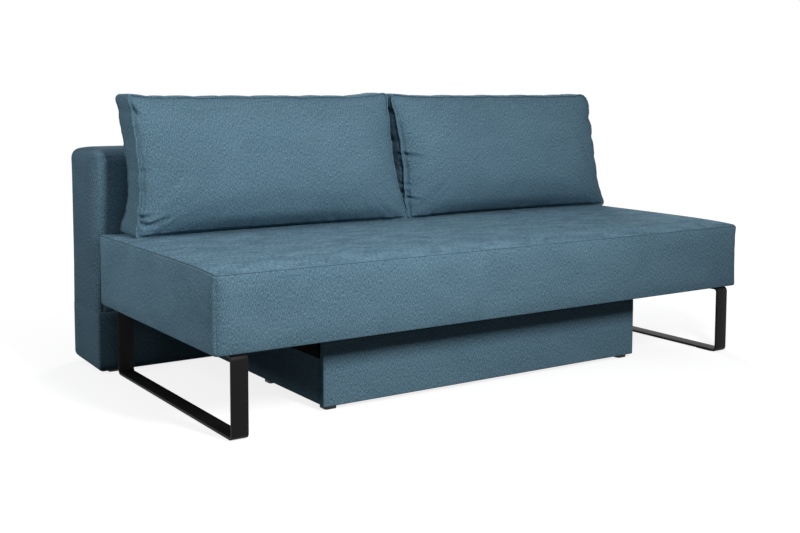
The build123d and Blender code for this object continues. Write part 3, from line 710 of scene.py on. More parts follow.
# %% Cushion shape
CUSHION_CELL = 9 * MM
CUSHION_LIFT = 12 * MM
REAR_SEAM = 296.5 * MM
BELLY, BELLY_RISE, REAR_CROWN = 68 * MM, 0.28, 12 * MM
TOP_DROP, EAR_REACH, FOOT_DRAW = 12 * MM, 70 * MM, 45 * MM
SEAM_FOOT, SEAM_LEAN, SEAM_BEND = 112 * MM, 84 * MM, 2.2
SIDE_WAVE, TOP_WAVE = 1.6 * MM, 1.0 * MM
SIDE_RISES = (0, 0.05, 0.10, 0.17, 0.28, 0.42, 0.55, 0.70, 0.85, 0.93, 1)


def wavy(place, seed):
    """Gentle fixed waves along an edge, about one unit high."""
    phase = np.array([0.0, 1.3, 2.9, 4.4]) + seed
    waves = [np.sin(place * turns + phase[k]) for k, turns in enumerate((9.0, 17.0, 31.0, 53.0))]
    return 0.8 * waves[0] + 0.6 * waves[1] + 0.4 * waves[2] + 0.25 * waves[3]


def bell(place, reach):
    """Smooth bump of height one at zero."""
    return np.exp(-((place / reach) ** 2))


def belly_at(rise):
    """Share of the belly at a share of the height: round below its widest place, slack above it."""
    under = np.sqrt(np.clip(1 - ((BELLY_RISE - rise) / BELLY_RISE) ** 2, 0, 1))
    over = np.clip(1 - ((rise - BELLY_RISE) / (1 - BELLY_RISE)) ** 2, 0, 1) ** 0.8
    return np.where(rise < BELLY_RISE, under, over)


def side_shift(rise, shifts):
    """How far a side moves to the right, at a share of the height, from its row of shifts in mm."""
    return MM * np.interp(rise, SIDE_RISES, shifts)


def cushion_shape(half_u, half_v, foot, points, seed, sides, ears, notches):
    """Places of a flat-packed cushion's points: u and v across the panel, w from rear to front seam."""
    u, v, w = points.T
    across, rise = u / half_u, np.clip((v / half_v + 1) / 2, 0, 1)
    rightness, leftness = np.clip((1 + across) / 2, 0, 1), np.clip((1 - across) / 2, 0, 1)
    x = u + leftness ** 8 * (w * side_shift(rise, sides[0]) + (1 - w) * side_shift(rise, sides[1]))
    x += rightness ** 8 * (w * side_shift(rise, sides[2]) + (1 - w) * side_shift(rise, sides[3]))
    x += np.sign(u) * SIDE_WAVE * wavy(rise * 3.4, seed + 2) * np.abs(across) ** 10
    z = foot + half_v + v
    z += (ears[0] * bell(u + half_u, EAR_REACH) + ears[1] * bell(u - half_u, EAR_REACH)) * rise ** 10
    z += TOP_WAVE * wavy(across * 1.9, seed) * rise ** 16
    for height, depth, reach in notches:
        x -= depth * MM * bell(z - height, reach * MM) * rightness ** 12
    seam = SEAM_FOOT + SEAM_LEAN * rise ** SEAM_BEND + FOOT_DRAW * (1 - across ** 2) * bell(rise, 0.07)
    y = REAR_SEAM + w * (seam - REAR_SEAM)
    rear_open = (1 - np.abs(across) ** 8) * np.clip(1 - np.abs(2 * rise - 1) ** 4, 0, 1)
    y -= np.where(w > 0.999, BELLY * (1 - np.abs(across) ** 10) * belly_at(rise), 0)
    y += np.where(w < 0.001, REAR_CROWN * rear_open, 0)
    return np.column_stack([x, y, z])


# %% [markdown]
# ## Folds in the cloth
#
# A fold in cloth is a short valley with a soft ridge beside it, deepest just off the seam that it comes
# from. It could be left to the simulation, but then it could not be placed, so each fold is a line of
# points drawn on the panel.


# %% Cushion folds
def press_fold(points, normals, line, depth, width):
    """Press one fold into the points near a line of (x, z) on a panel that looks forward."""
    way = np.array(line)
    flat = points[:, [0, 2]]
    best = np.full(len(points), 1e9)
    along = np.zeros(len(points))
    side = np.zeros(len(points))
    lengths = np.linalg.norm(np.diff(way, axis=0), axis=1)
    for k in range(len(way) - 1):
        step = way[k + 1] - way[k]
        share = np.clip(((flat - way[k]) @ step) / (step @ step), 0, 1)
        away = flat - (way[k] + share[:, None] * step)
        gap = np.linalg.norm(away, axis=1)
        nearer = gap < best
        best = np.where(nearer, gap, best)
        along = np.where(nearer, (lengths[:k].sum() + share * lengths[k]) / lengths.sum(), along)
        side = np.where(nearer, np.sign(step[0] * away[:, 1] - step[1] * away[:, 0]), side)
    forward = normals[:, 1] < -0.15
    fade = np.clip(along / 0.3 + 0.2, 0, 1) * np.clip(1 - along, 0, 1) ** 0.8 * forward
    valley = np.exp(-((best / width) ** 2))
    ridge = 0.5 * np.exp(-(((best - 2.0 * width) / (1.3 * width)) ** 2)) * (side > 0)
    points -= normals * (depth * fade * (valley - ridge))[:, None]


def flatten_on(points, tree, way, gap):
    """Move points that are past a surface back to it, along one way."""
    far = 0.3
    for k, point in enumerate(points):
        origin = Vector(point) - Vector(way) * far
        hit, _, _, distance = tree.ray_cast(origin, Vector(way), 2 * far)
        if hit is not None and distance < far + gap:
            points[k] = np.array(hit) - np.array(way) * gap


# %% [markdown]
# ## Two cushions, alike but not the same
#
# Both cushions come from one function. What makes each its own is a few given values: how its sides
# lean, how high its ears stand, where it is pinched and where it folds. They could be random, but a real
# pair settles in its own way.

# %% Cushions
# How far each side moves to the right, in mm, at the shares of the height in SIDE_RISES. Rows of each
# cushion: left side at the front and the rear seam, then right side at the front and the rear seam.
CUSHION_SIDES = {"left": (
    (-10, -8.5, -5, 0, 7, 10.5, 11, 10, 9, 7, -2),
    (8, 12, 18, 33, 38, 40, 34, 24, 14, 8, -4),
    (34, 30, 21, 9, -6, -16, -20, -18.5, -13, -8, -3),
    (34, 30, 24, 12, -10, -28, -34, -32, -22, -14, -6),
), "right": (
    (33, 30, 25, 17, 18, 19, 17, 16, 13, 10, 6),
    (38, 35, 28, 22, 28, 34, 34, 30, 24, 18, 10),
    (18, 9, -3, -16, -28, -31, -31, -28, -19, -17, -9),
    (18, 9, -3, -18, -32, -36, -36, -32, -22, -18, -9),
)}
CUSHION_EARS = {"left": (9 * MM, 13 * MM), "right": (11 * MM, 9 * MM)}
CUSHION_CORNERS = {"left": (16 * MM, 14 * MM, 20 * MM, 16 * MM),
                   "right": (16 * MM, 40 * MM, 20 * MM, 16 * MM)}
# Each fold: its line of (x, z) in metres, then its depth and width in mm.
CUSHION_FOLDS = {"left": [
    ([(-0.936, 0.666), (-0.908, 0.670)], 5, 5.5),
    ([(-0.936, 0.621), (-0.917, 0.626)], 6, 5.5),
    ([(-0.936, 0.609), (-0.920, 0.606)], 5, 5.5),
    ([(-0.940, 0.524), (-0.927, 0.524), (-0.906, 0.527)], 13, 6),
    ([(-0.940, 0.511), (-0.924, 0.498), (-0.902, 0.503), (-0.842, 0.530)], 16, 6.5),
    ([(-0.937, 0.862), (-0.923, 0.848), (-0.910, 0.828)], 14, 7),
], "right": [
    ([(0.030, 0.684), (0.049, 0.686), (0.078, 0.681), (0.112, 0.670)], 14, 6),
    ([(0.031, 0.672), (0.046, 0.664)], 9, 5.5),
    ([(0.032, 0.644), (0.060, 0.641)], 4, 6),
    ([(0.032, 0.584), (0.066, 0.576)], 8, 5.5),
    ([(0.032, 0.570), (0.041, 0.555), (0.062, 0.547)], 14, 6),
    ([(0.034, 0.538), (0.058, 0.532), (0.092, 0.523)], 13, 6),
]}
# Each pinch of the right side: its height in metres, then its depth and reach in mm.
CUSHION_NOTCHES = {"left": [], "right": [(0.802, 13, 14), (0.725, 6, 9), (0.655, 6, 9)]}
CUSHION_INNER = (20 * MM, 24 * MM)
CUSHION_BAND = (0.0, 0.035, 0.09, 0.18, 0.30, 0.42, 0.54, 0.66, 0.78, 0.88, 0.955, 1.0)
CUSHION_EDGE = (14 * MM, 5 * MM)
FIBRE_PRESSURE, CUSHION_SWELL, CUSHION_SLACK = 4.5, 12 * MM, 0.008
CUSHION_SEAM_DEPTH, SEAM_PROUD = 6.5 * MM, 1.8 * MM
CUSHION_GAP, SEAT_GAP, BACK_GAP = 0.8 * MM, 0.4 * MM, 0.6 * MM


def split_at(rise):
    """Where the two cushions meet, at a share of the height."""
    left = CUSHION_INNER[0] + side_shift(rise, CUSHION_SIDES["left"][2])
    right = CUSHION_INNER[1] + side_shift(rise, CUSHION_SIDES["right"][0])
    return (left + right) / 2


def make_cushion(side, seed):
    """Boxed loose cushion: blown up, folded, drawn in at its seams and flattened where it lies."""
    low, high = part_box(f"cushion_{side}_cover")
    foot = low.z + CUSHION_LIFT
    half_u, half_v = (high.x - low.x) / 2, (high.z - TOP_DROP - foot) / 2
    radii = CUSHION_CORNERS[side]
    counts = ring_counts(half_u, half_v, max(radii), CUSHION_CELL, 4)
    profile = [(inset, 0.0) for inset in CUSHION_EDGE] + [(0.0, share) for share in CUSHION_BAND]
    profile += [(inset, 1.0) for inset in reversed(CUSHION_EDGE)]
    rings = profile_rings(half_u, half_v, radii, counts, profile)
    flat, faces = ring_stack(rings, panel_sides(counts))
    points = cushion_shape(half_u, half_v, foot, flat, seed, CUSHION_SIDES[side], CUSHION_EARS[side],
                           CUSHION_NOTCHES[side])
    points[:, 0] += (low.x + high.x) / 2
    piece = new_piece(f"cushion_{side}_bag", points, faces, fabric)
    rows = ring_rows(rings)
    rear, front = len(CUSHION_EDGE), len(CUSHION_EDGE) + len(CUSHION_BAND) - 1
    held = np.concatenate([rows[rear], rows[front]])
    blow_up(piece, held, pressure=FIBRE_PRESSURE, cap=CUSHION_SWELL, grow=CUSHION_SLACK, frames=16)
    draw_in(piece, [(rows[rear], 0.4), (rows[front - 1], 0.4), (rows[front + 1], 1.0)], CUSHION_SEAM_DEPTH)
    subdivided(piece)
    points, normals = places_of(piece), normals_of(piece)
    for line, depth, width in CUSHION_FOLDS[side]:
        press_fold(points, normals, line, depth * MM, width * MM)
    meet = split_at(np.clip((points[:, 2] - foot) / (2 * half_v), 0, 1))
    if side == "left":
        points[:, 0] = np.minimum(points[:, 0], meet - CUSHION_GAP)
    else:
        points[:, 0] = np.maximum(points[:, 0], meet + CUSHION_GAP)
    flatten_on(points, seat_tree, (0, 0, -1), SEAT_GAP)
    flatten_on(points, back_tree, (0, 1, 0), BACK_GAP)
    move_to(piece, points)
    return lay_panels(piece), [points[rows[k]] + SEAM_PROUD * normals[rows[k]] for k in (rear, front)]


graph = bpy.context.evaluated_depsgraph_get()
seat_tree, back_tree = BVHTree.FromObject(seat, graph), BVHTree.FromObject(back, graph)
cushion_seams = {}
for side, seed in (("left", 0.0), ("right", 2.1)):
    cushion, cushion_seams[side] = make_cushion(side, seed)
    dress(cushion, f"cushion_{side}", [f"cushion_{side}_cover", f"cushion_{side}_fill"])

# %% [markdown]
# ## Fabric over boards
#
# The rear base and the linen box are boards with the same cloth pulled tight over them and stapled
# underneath. Each is a thin stretched sheet, so it is drawn as one surface that rolls over the edges and
# then gets the thickness of cloth. The rear base has no top, and a notch for each lift arm.

# %% Cloth sheets
CLOTH = 1.2 * MM


def thickened(piece, thickness):
    """Thickness on the inner side of a sheet, applied."""
    wall = piece.modifiers.new("cloth", "SOLIDIFY")
    wall.thickness = thickness
    wall.offset = -1.0
    return plain(piece)


def profile_length(profile):
    """Length of a profile of (inset, height)."""
    return sum(math.dist(a, b) for a, b in zip(profile, profile[1:]))


def ring_length(ring):
    """Length round a ring."""
    return float(np.linalg.norm(np.diff(np.vstack([ring, ring[:1]]), axis=0), axis=1).sum())


# %% [markdown]
# ## The cover of the rear base
#
# One band of cloth runs round the rear base. It rolls under the lower edge and turns in over the top of the
# boards. It could be four flat pieces, but a wrapped band has no seams at the corners. It hangs a little
# below the boards, lower at the front, and wadding at the ends and the rear holds it off them.

# %% Rear base cover
BASE_LOW, BASE_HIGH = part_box("base_cover")
BASE_CORNERS = (8 * MM, 12 * MM, 12 * MM, 8 * MM)
BASE_ROLL, BASE_HANG, BASE_TILT, BASE_WADDING = 26 * MM, 11 * MM, 4 * MM, 5 * MM
BASE_TILT_REACH, BASE_UNDER, BASE_LIP, LIP_RISE = 90 * MM, 30 * MM, 15 * MM, 0.1 * MM
NOTCH_LOW, NOTCH_HALF, NOTCH_AHEAD, NOTCH_BEHIND = 119 * MM, 20 * MM, 30 * MM, 34 * MM


def make_base_cover():
    """Stretched cover of the rear base, rolled under its lower edge."""
    half_u = BASE_HIGH.x + BASE_WADDING
    half_v = (BASE_HIGH.y - BASE_LOW.y) / 2
    middle = (BASE_HIGH.y + BASE_LOW.y) / 2
    foot = BASE_LOW.z - BASE_HANG
    roll = arc_profile(BASE_ROLL, [90, 70, 50, 30, 15, 0], 0, foot, False)
    side = np.linspace(roll[-1][1], BASE_HIGH.z - 0.8 * MM, 10)[1:]
    top = BASE_HIGH.z + LIP_RISE
    lip = [(0.4 * MM, BASE_HIGH.z), (2 * MM, top), (BASE_LIP, top)]
    profile = [(BASE_UNDER, foot)] + roll + [(0, height) for height in side] + lip
    counts = ring_counts(half_u, half_v, max(BASE_CORNERS), 40 * MM, 6)
    rings = profile_rings(half_u, half_v, BASE_CORNERS, counts, profile)
    points = np.vstack(rings)
    lower = np.clip(1 - (points[:, 2] - foot) / BASE_TILT_REACH, 0, 1)
    points[:, 2] += BASE_TILT * lower * points[:, 1] / half_v
    points[:, 1] += middle + np.where(points[:, 1] > 0, BASE_WADDING / 2, 0)
    # The rear base's cover takes the cloth painted darker: painted shade.
    piece = new_piece("rear_base_cover", points, band_faces(len(rings[0]), len(rings)), back_fabric_painted_shade)
    flat = (ring_length(rings[len(roll) + 2]), profile_length(profile))
    cut_for_arms(thickened(piece, CLOTH), NOTCH_HALF, BASE_LOW.y - NOTCH_AHEAD, BASE_LOW.y + NOTCH_BEHIND,
                 NOTCH_LOW, BASE_HIGH.z + CUT_PAST)
    return lay_panels(piece), flat


base_cover, base_flat = make_base_cover()
dress(base_cover, "base", ["base_cover"])
print("base cloth", [round(side, 3) for side in base_flat])

# %% [markdown]
# ## The front of the linen box
#
# The front board is wrapped like a parcel: the cloth covers its face, bends over all four edges and ends
# behind them. It is drawn as a panel with rings round it. A few shallow pulls start at the upper corners,
# where a wrapped cloth is folded and stapled.

# %% Linen box front
FRONT_LOW, FRONT_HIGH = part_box("box_front_fabric")
FRONT_ROUND, FRONT_PROUD = 3.5 * MM, 2 * MM
FRONT_CORNERS = (3.5 * MM,) * 4
FRONT_TURN_IN, FRONT_INSET, PULL_LIMIT = 6 * MM, 14 * MM, 1.5 * MM
# Each pull: its line of (x, z) in metres, then its depth and width in mm.
FRONT_PULLS = [
    ([(-0.608, 0.192), (-0.560, 0.176), (-0.500, 0.170)], 1.6, 7),
    ([(-0.608, 0.180), (-0.575, 0.160), (-0.540, 0.150)], 1.4, 6),
    ([(-0.560, 0.198), (-0.520, 0.188), (-0.450, 0.186)], 1.2, 7),
    ([(0.606, 0.186), (0.570, 0.172), (0.520, 0.168)], 1.2, 7),
]


def make_box_front():
    """Cloth pulled over the box's front board and round its edges."""
    half_u, half_v = FRONT_HIGH.x, (FRONT_HIGH.z - FRONT_LOW.z) / 2 + FRONT_PROUD
    middle = (FRONT_HIGH.z + FRONT_LOW.z) / 2
    face = arc_profile(FRONT_ROUND, [0, 20, 40, 60, 75, 90], 0, -FRONT_LOW.y, True)
    profile = [(FRONT_TURN_IN, -FRONT_HIGH.y), (0, -FRONT_HIGH.y)] + face + [(FRONT_INSET, -FRONT_LOW.y)]
    counts = ring_counts(half_u, half_v, max(FRONT_CORNERS), 9 * MM, 4)
    rings = profile_rings(half_u, half_v, FRONT_CORNERS, counts, profile)
    inner, index = panel_over(rings[-1], panel_sides(counts))
    points = np.vstack(rings + [inner])
    total = len(rings[0])
    faces = band_faces(total, len(rings)) + panel_quads(index + (len(rings) - 1) * total)
    points = np.column_stack([points[:, 0], -points[:, 2], points[:, 1] + middle])
    piece = new_piece("box_front_cloth", points, faces, fabric)
    normals = normals_of(piece)
    for line, depth, width in FRONT_PULLS:
        press_fold(points, normals, line, depth * MM, width * MM)
    points[:, 1] = np.maximum(points[:, 1], FRONT_LOW.y - PULL_LIMIT)
    move_to(piece, points)
    edge = profile_length(profile[:-1])
    flat = (2 * (half_u - FRONT_ROUND + edge), 2 * (half_v - FRONT_ROUND + edge))
    return lay_panels(thickened(piece, CLOTH)), flat


box_front, front_flat = make_box_front()
dress(box_front, "base", ["box_front_fabric"])
print("box front cloth", [round(side, 3) for side in front_flat])

# %% [markdown]
# ## The sides of the linen box
#
# The sides stand in the shade under the seat, so their cloth is a plain strip. It ends flush with the top of
# the board, because the folded back comes down just above it, and rolls under the lower edge, where it is
# stapled.

# %% Linen box sides
SIDE_DROP, SIDE_UNDER = 1 * MM, 22 * MM
SIDE_STEPS = 30


def make_box_side(side):
    """Cloth over one side of the linen box, flush with its top and rolled under its lower edge."""
    low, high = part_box(f"box_side_fabric_{side}")
    sign = -1 if side == "left" else 1
    outer = max(abs(low.x), abs(high.x))
    under = low.z - SIDE_DROP
    drop = [(outer - 1.8 * MM, high.z - 0.1 * MM), (outer - 0.7 * MM, high.z - 0.4 * MM)]
    drop += [(outer, height) for height in np.linspace(high.z - 3 * MM, low.z + 3 * MM, 9)]
    drop += [(outer - 0.9 * MM, under + 0.8 * MM), (outer - 3 * MM, under), (outer - SIDE_UNDER, under)]
    run = np.linspace(low.y, high.y, SIDE_STEPS)
    points = [(sign * x, y, z) for y in run for x, z in drop]
    faces = band_faces(len(drop), len(run), closed=False)
    if sign < 0:
        faces = [face[::-1] for face in faces]
    piece = new_piece(f"box_side_cloth_{side}", points, faces, fabric)
    flat = (profile_length(drop), float(run[-1] - run[0]))
    return lay_panels(thickened(piece, CLOTH * 0.6)), flat


for side in ("left", "right"):
    cloth, side_flat = make_box_side(side)
    dress(cloth, "base", [f"box_side_fabric_{side}"])
print("box side cloth", [round(size, 3) for size in side_flat])

# %% [markdown]
# ## Steel, wood and plastic
#
# The legs are flat steel bar with a powder coat, and the folding fittings are phosphated steel. Screws and
# pins are zinc-plated, the boards are chipboard, the rails pine, the slats beech, the feet polypropylene,
# and the sliders and bushes nylon. Most of this is seen only when the bed is open. Each could have its own
# tree of nodes, but all of them are even or grained surfaces, so one function makes them from a grain size,
# its stretch and two tones.

# %% Hard materials
PEEL, CHIP, GRAIN, PLATING, FIBRE = 1.1 * MM, 5.0 * MM, 3.0 * MM, 0.8 * MM, 2.0 * MM
BROAD = 14
RELIEF = 0.4 * MM


def surface(name, tones, size, bump, rough, stretch=(1, 1, 1), **sockets):
    """Material with colour, roughness and bump from one noise, of a size in metres and a stretch by axis."""
    material, tree = new_material(name)
    place = add(tree, "ShaderNodeTexCoord").outputs["Object"]
    scale = [1 / value for value in stretch]
    drawn = add(tree, "ShaderNodeMapping", {"Vector": place, "Scale": scale}).outputs[0]
    fine = add(tree, "ShaderNodeTexNoise", {"Vector": drawn, "Scale": 1 / size, "Detail": 4.0,
                                            "Roughness": 0.6}).outputs["Fac"]
    broad = add(tree, "ShaderNodeTexNoise", {"Vector": drawn, "Scale": 1 / (size * BROAD),
                                             "Detail": 2.0}).outputs["Fac"]
    tone = add(tree, "ShaderNodeMix", {"Factor": 0.4, "A": fine, "B": broad}, data_type="FLOAT").outputs[0]
    ramp = add(tree, "ShaderNodeValToRGB", {"Fac": tone})
    for stop, position, code in zip(ramp.color_ramp.elements, (0.34, 0.66), tones):
        stop.position, stop.color = position, linear(code)
    dull = add(tree, "ShaderNodeMapRange", {"Value": tone, "To Min": rough[0], "To Max": rough[1]}).outputs[0]
    peel = add(tree, "ShaderNodeBump", {"Height": fine, "Strength": bump, "Distance": RELIEF}).outputs[0]
    values = {"Base Color": ramp.outputs[0], "Roughness": dull, "Normal": peel}
    shader = add(tree, "ShaderNodeBsdfPrincipled", {**values, **sockets})
    add(tree, "ShaderNodeOutputMaterial", {"Surface": shader.outputs[0]})
    return material


# Baked powder: a near-black skin with a fine orange peel and a soft, weak shine.
powder_coat = surface("black_powder_coat", ("#0b0b0c", "#131314"), PEEL, 0.25, (0.46, 0.60),
                      **{"Specular IOR Level": 0.14})
# Phosphated steel: a dead matt black that shows no reflections.
phosphate = surface("black_phosphated_steel", ("#0a0a0b", "#131313"), PEEL, 0.15, (0.78, 0.90),
                    **{"Specular IOR Level": 0.02})
# Zinc plating: a bright grey metal, a little cloudy.
zinc = surface("zinc_plated_steel", ("#a9adb0", "#c6c8c6"), PLATING, 0.10, (0.28, 0.42), Metallic=1.0)
# Raw chipboard: flat chips in two tones of tan, quite matt.
chipboard = surface("raw_chipboard", ("#a4865c", "#cfb48a"), CHIP, 0.35, (0.80, 0.92), (1, 1, 0.6))
# Sawn pine: yellow wood with long, slightly rough grain.
pine = surface("sawn_pine", ("#b98e57", "#dcb680"), GRAIN, 0.30, (0.60, 0.78), (14, 3, 1))
# Bent beech: reddish wood with a fine even grain, smoothed by its press.
beech = surface("bent_beech", ("#b98457", "#d3a678"), GRAIN, 0.15, (0.40, 0.55), (1, 18, 1))
# Moulded polypropylene: a black plastic with a fine spark texture.
polypropylene = surface("black_polypropylene", ("#151516", "#1f1f20"), PEEL, 0.20, (0.50, 0.65), IOR=1.49)
# Cast nylon: a smooth, waxy off-white.
nylon = surface("cast_nylon", ("#d9d6cc", "#e6e3da"), GRAIN, 0.08, (0.35, 0.48), IOR=1.53)
# Spunbond fleece: thin black fibres that leave a cloudy, matt cloth.
spunbond = surface("black_spunbond", ("#101113", "#24262a"), FIBRE, 0.35, (0.86, 0.95))

# %% Finish the CAD nodes
FINISHES = {"chipboard": chipboard, "timber": pine, "beech_slat": beech, "black_steel": powder_coat,
            "mechanism_steel": phosphate, "zinc_steel": zinc, "black_plastic": polypropylene, "nylon": nylon}
finished = 0
for part in frame["record"]["subparts"]:
    finish = FINISHES.get(part["material_slot"])
    if finish:
        node_object = frame["nodes"][part["node"]]
        for slot in node_object.material_slots:
            slot.material = finish
        finished += 1
print("finished", finished, "CAD nodes")

# %% [markdown]
# ## Sled legs, swept along a path
#
# Each leg is one flat bar bent into a closed loop. The bar could be a bevelled box cut out of a box, but a
# bar that follows a path is just what Geometry Nodes sweep: a four-cornered loop is rounded at its bends,
# and a rounded rectangle runs round it. The sizes are inputs of the tree. Four helpers serve all the trees:
# they start one, end it, draw its paths and run it.


# %% Geometry Nodes helpers
def new_tree(name, inputs):
    """Geometry Nodes tree with a geometry input, named number inputs and a material input."""
    tree = bpy.data.node_groups.new(name, "GeometryNodeTree")
    tree.interface.new_socket("Geometry", in_out="INPUT", socket_type="NodeSocketGeometry")
    for label, kind in inputs:
        tree.interface.new_socket(label, in_out="INPUT", socket_type=kind)
    tree.interface.new_socket("Geometry", in_out="OUTPUT", socket_type="NodeSocketGeometry")
    entry = tree.nodes.new("NodeGroupInput")
    return tree, entry.outputs


def close_tree(tree, geometry, material):
    """End a tree in Realize Instances and Set Material."""
    real = add(tree, "GeometryNodeRealizeInstances", {"Geometry": geometry})
    painted = add(tree, "GeometryNodeSetMaterial", {"Geometry": real.outputs[0], "Material": material})
    add(tree, "NodeGroupOutput", {"Geometry": painted.outputs[0]})
    return tree


def loop_piece(name, loops):
    """Piece of closed loops of edges, as paths for a tree."""
    points, edges = [], []
    for loop in loops:
        start, count = len(points), len(loop)
        points += [tuple(point) for point in loop]
        edges += [(start + k, start + (k + 1) % count) for k in range(count)]
    mesh = bpy.data.meshes.new(name)
    mesh.from_pydata(points, edges, [])
    piece = bpy.data.objects.new(name, mesh)
    scene.collection.objects.link(piece)
    return piece


def grow_from(piece, tree, **values):
    """Run a tree on a piece with named inputs, and make the result a plain mesh."""
    modifier = piece.modifiers.new(tree.name, "NODES")
    modifier.node_group = tree
    names = {item.name.replace(" ", "_").lower(): item.identifier for item in tree.interface.items_tree
             if item.in_out == "INPUT"}
    for label, value in values.items():
        modifier[names[label]] = value
    return plain(piece)


# %% Sled legs
SIZE, WHOLE, PAINT = "NodeSocketFloat", "NodeSocketInt", "NodeSocketMaterial"
BAR_WIDTH, BAR_THICK, BAR_BEND, BAR_EDGE = 50 * MM, 8 * MM, 16 * MM, 1.3 * MM


def bar_tree():
    """Flat bar swept round a loop with rounded bends."""
    tree, given = new_tree("flat_bar", [("Bar width", SIZE), ("Bar thickness", SIZE), ("Bend radius", SIZE),
                                        ("Edge radius", SIZE), ("Coat", PAINT)])
    path = add(tree, "GeometryNodeMeshToCurve", {"Mesh": given["Geometry"]})
    bent = add(tree, "GeometryNodeFilletCurve", {"Curve": path.outputs[0], "Count": 8,
                                                 "Radius": given["Bend radius"]}, mode="POLY")
    section = add(tree, "GeometryNodeCurvePrimitiveQuadrilateral", {"Width": given["Bar width"],
                                                                    "Height": given["Bar thickness"]})
    eased = add(tree, "GeometryNodeFilletCurve", {"Curve": section.outputs[0], "Count": 3,
                                                  "Radius": given["Edge radius"]}, mode="POLY")
    bar = add(tree, "GeometryNodeCurveToMesh", {"Curve": bent.outputs[0], "Profile Curve": eased.outputs[0]})
    return close_tree(tree, bar.outputs[0], given["Coat"])


flat_bar = bar_tree()
for side in ("left", "right"):
    low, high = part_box(f"sled_leg_{side}")
    x, inset = (low.x + high.x) / 2, BAR_THICK / 2
    corners = [(x, low.y + inset, low.z + inset), (x, high.y - inset, low.z + inset),
               (x, high.y - inset, high.z - inset), (x, low.y + inset, high.z - inset)]
    leg = grow_from(loop_piece(f"sled_bar_{side}", [corners]), flat_bar, bar_width=BAR_WIDTH,
                    bar_thickness=BAR_THICK, bend_radius=BAR_BEND - inset, edge_radius=BAR_EDGE,
                    coat=powder_coat)
    dress(leg, "seat", [f"sled_leg_{side}"])
    reach = places_of(leg)
    print(leg.name, [round(float(size), 4) for size in reach.max(0) - reach.min(0)], "CAD",
          [round(size, 4) for size in high - low])

# %% [markdown]
# ## Seams
#
# Where a cushion's panel and band are sewn, the seam allowance inside pushes up a thin rolled edge. It
# shows as a light line with a dark one beside it. A thin roll of the same cloth, swept along the seam's own
# points, gives that edge. The seat's seam is the other way round: it is sunk between two tight panels, and
# the shade in it is painted, with a dark cord swept along it.

# %% Seams
SEAM_ROLL = 3.0 * MM
SEAM_THREAD = 1.6 * MM


def roll_tree():
    """Thin rolled edge along closed seams."""
    tree, given = new_tree("seam_roll", [("Roll radius", SIZE), ("Sides", WHOLE), ("Cloth", PAINT)])
    path = add(tree, "GeometryNodeMeshToCurve", {"Mesh": given["Geometry"]})
    ring = add(tree, "GeometryNodeCurvePrimitiveCircle", {"Resolution": given["Sides"],
                                                          "Radius": given["Roll radius"]})
    roll = add(tree, "GeometryNodeCurveToMesh", {"Curve": path.outputs[0], "Profile Curve": ring.outputs[0]})
    smooth = add(tree, "GeometryNodeSetShadeSmooth", {"Geometry": roll.outputs[0]})
    return close_tree(tree, smooth.outputs[0], given["Cloth"])


seam_roll = roll_tree()
for side, seams in cushion_seams.items():
    rolled = grow_from(loop_piece(f"cushion_{side}_seams", seams), seam_roll, roll_radius=SEAM_ROLL, sides=8,
                       cloth=fabric)
    dress(lay_panels(rolled), f"cushion_{side}", [])
# Painted shade in the sunk seat seam: a cord, dark blue and matt, much darker than the cloth.
seam_shade_paint = surface("sunk_polyester_thread", ("#1c2a33", "#2b3d49"), YARN, 0.2, (0.7, 0.9))
seat_seam_shade = grow_from(loop_piece("seat_seam", [seat_seam]), seam_roll, roll_radius=SEAM_THREAD, sides=6,
                     cloth=seam_shade_paint)
dress(seat_seam_shade, "seat", [])

# %% [markdown]
# ## Dust cloth
#
# The underside of the seat is closed with a thin black cloth of spun fibres, pulled over the frame. It
# could be simulated, but it is tight, so a grid with a slight sag and a little ripple is enough.

# %% Dust cloth
DUST_LOW, DUST_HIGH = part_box("seat_dust_cloth")
DUST_THICK, DUST_DROP, DUST_SAG = 0.5 * MM, 0.9 * MM, 1.4 * MM
DUST_CELLS = (90, 44)


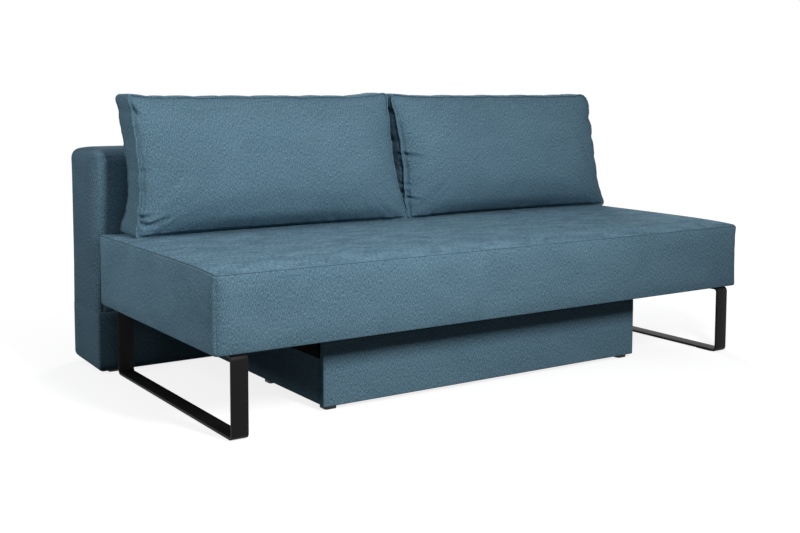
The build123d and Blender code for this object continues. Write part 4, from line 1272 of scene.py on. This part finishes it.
def make_dust_cloth():
    """Stretched cloth under the seat that sags a little between its edges."""
    across = np.linspace(DUST_LOW.x, DUST_HIGH.x, DUST_CELLS[0])
    along = np.linspace(DUST_LOW.y, DUST_HIGH.y, DUST_CELLS[1])
    points = []
    for y in along:
        arch = math.sin(math.pi * (y - DUST_LOW.y) / (DUST_HIGH.y - DUST_LOW.y))
        for x in across:
            inside = (1 - (x / DUST_HIGH.x) ** 8) * arch
            ripple = 0.25 * math.sin(x * 37 + y * 11) + 0.2 * math.sin(y * 43 - x * 7)
            points.append((x, y, DUST_LOW.z - DUST_DROP - DUST_SAG * max(inside, 0) * (0.8 + ripple)))
    faces = [face[::-1] for face in band_faces(len(across), len(along), closed=False)]
    piece = new_piece("seat_lining", points, faces, spunbond)
    return thickened(piece, DUST_THICK)


lining = dress(make_dust_cloth(), "seat", ["seat_dust_cloth"])

# %% [markdown]
# ## Staples
#
# The dust cloth is held by a row of wire staples along its border. Only their crowns show. They repeat
# along a path, so one tree steps along the border and sets a short wire at each step, turned along the
# path.

# %% Staples
STAPLE_PITCH, STAPLE_LENGTH, STAPLE_WIRE = 55 * MM, 10 * MM, 0.9 * MM
STAPLE_BORDER, STAPLE_DROP = 7 * MM, 1.5 * MM


def staple_tree():
    """Staple crowns at even steps along a closed border."""
    sizes = [("Pitch", SIZE), ("Length", SIZE), ("Wire", SIZE)]
    tree, given = new_tree("staple_row", sizes + [("Steel", PAINT)])
    path = add(tree, "GeometryNodeMeshToCurve", {"Mesh": given["Geometry"]})
    steps = add(tree, "GeometryNodeCurveToPoints", {"Curve": path.outputs[0], "Length": given["Pitch"]},
                mode="LENGTH")
    size = add(tree, "ShaderNodeCombineXYZ", {"X": given["Length"], "Y": given["Wire"], "Z": given["Wire"]})
    crown = add(tree, "GeometryNodeMeshCube", {"Size": size.outputs[0], "Vertices X": 4})
    turn = add(tree, "FunctionNodeAlignRotationToVector", {"Vector": steps.outputs["Tangent"]}, axis="X")
    row = add(tree, "GeometryNodeInstanceOnPoints", {"Points": steps.outputs["Points"],
                                                     "Instance": crown.outputs[0],
                                                     "Rotation": turn.outputs[0]})
    return close_tree(tree, row.outputs[0], given["Steel"])


west, east = DUST_LOW.x + STAPLE_BORDER, DUST_HIGH.x - STAPLE_BORDER
front, rear = DUST_LOW.y + STAPLE_BORDER, DUST_HIGH.y - STAPLE_BORDER
corners = ((west, front), (east, front), (east, rear), (west, rear))
border = [(x, y, DUST_LOW.z - STAPLE_DROP) for x, y in corners]
staples = grow_from(loop_piece("lining_staples", [border]), staple_tree(), pitch=STAPLE_PITCH,
                    length=STAPLE_LENGTH, wire=STAPLE_WIRE, steel=zinc)
dress(staples, "seat", [])
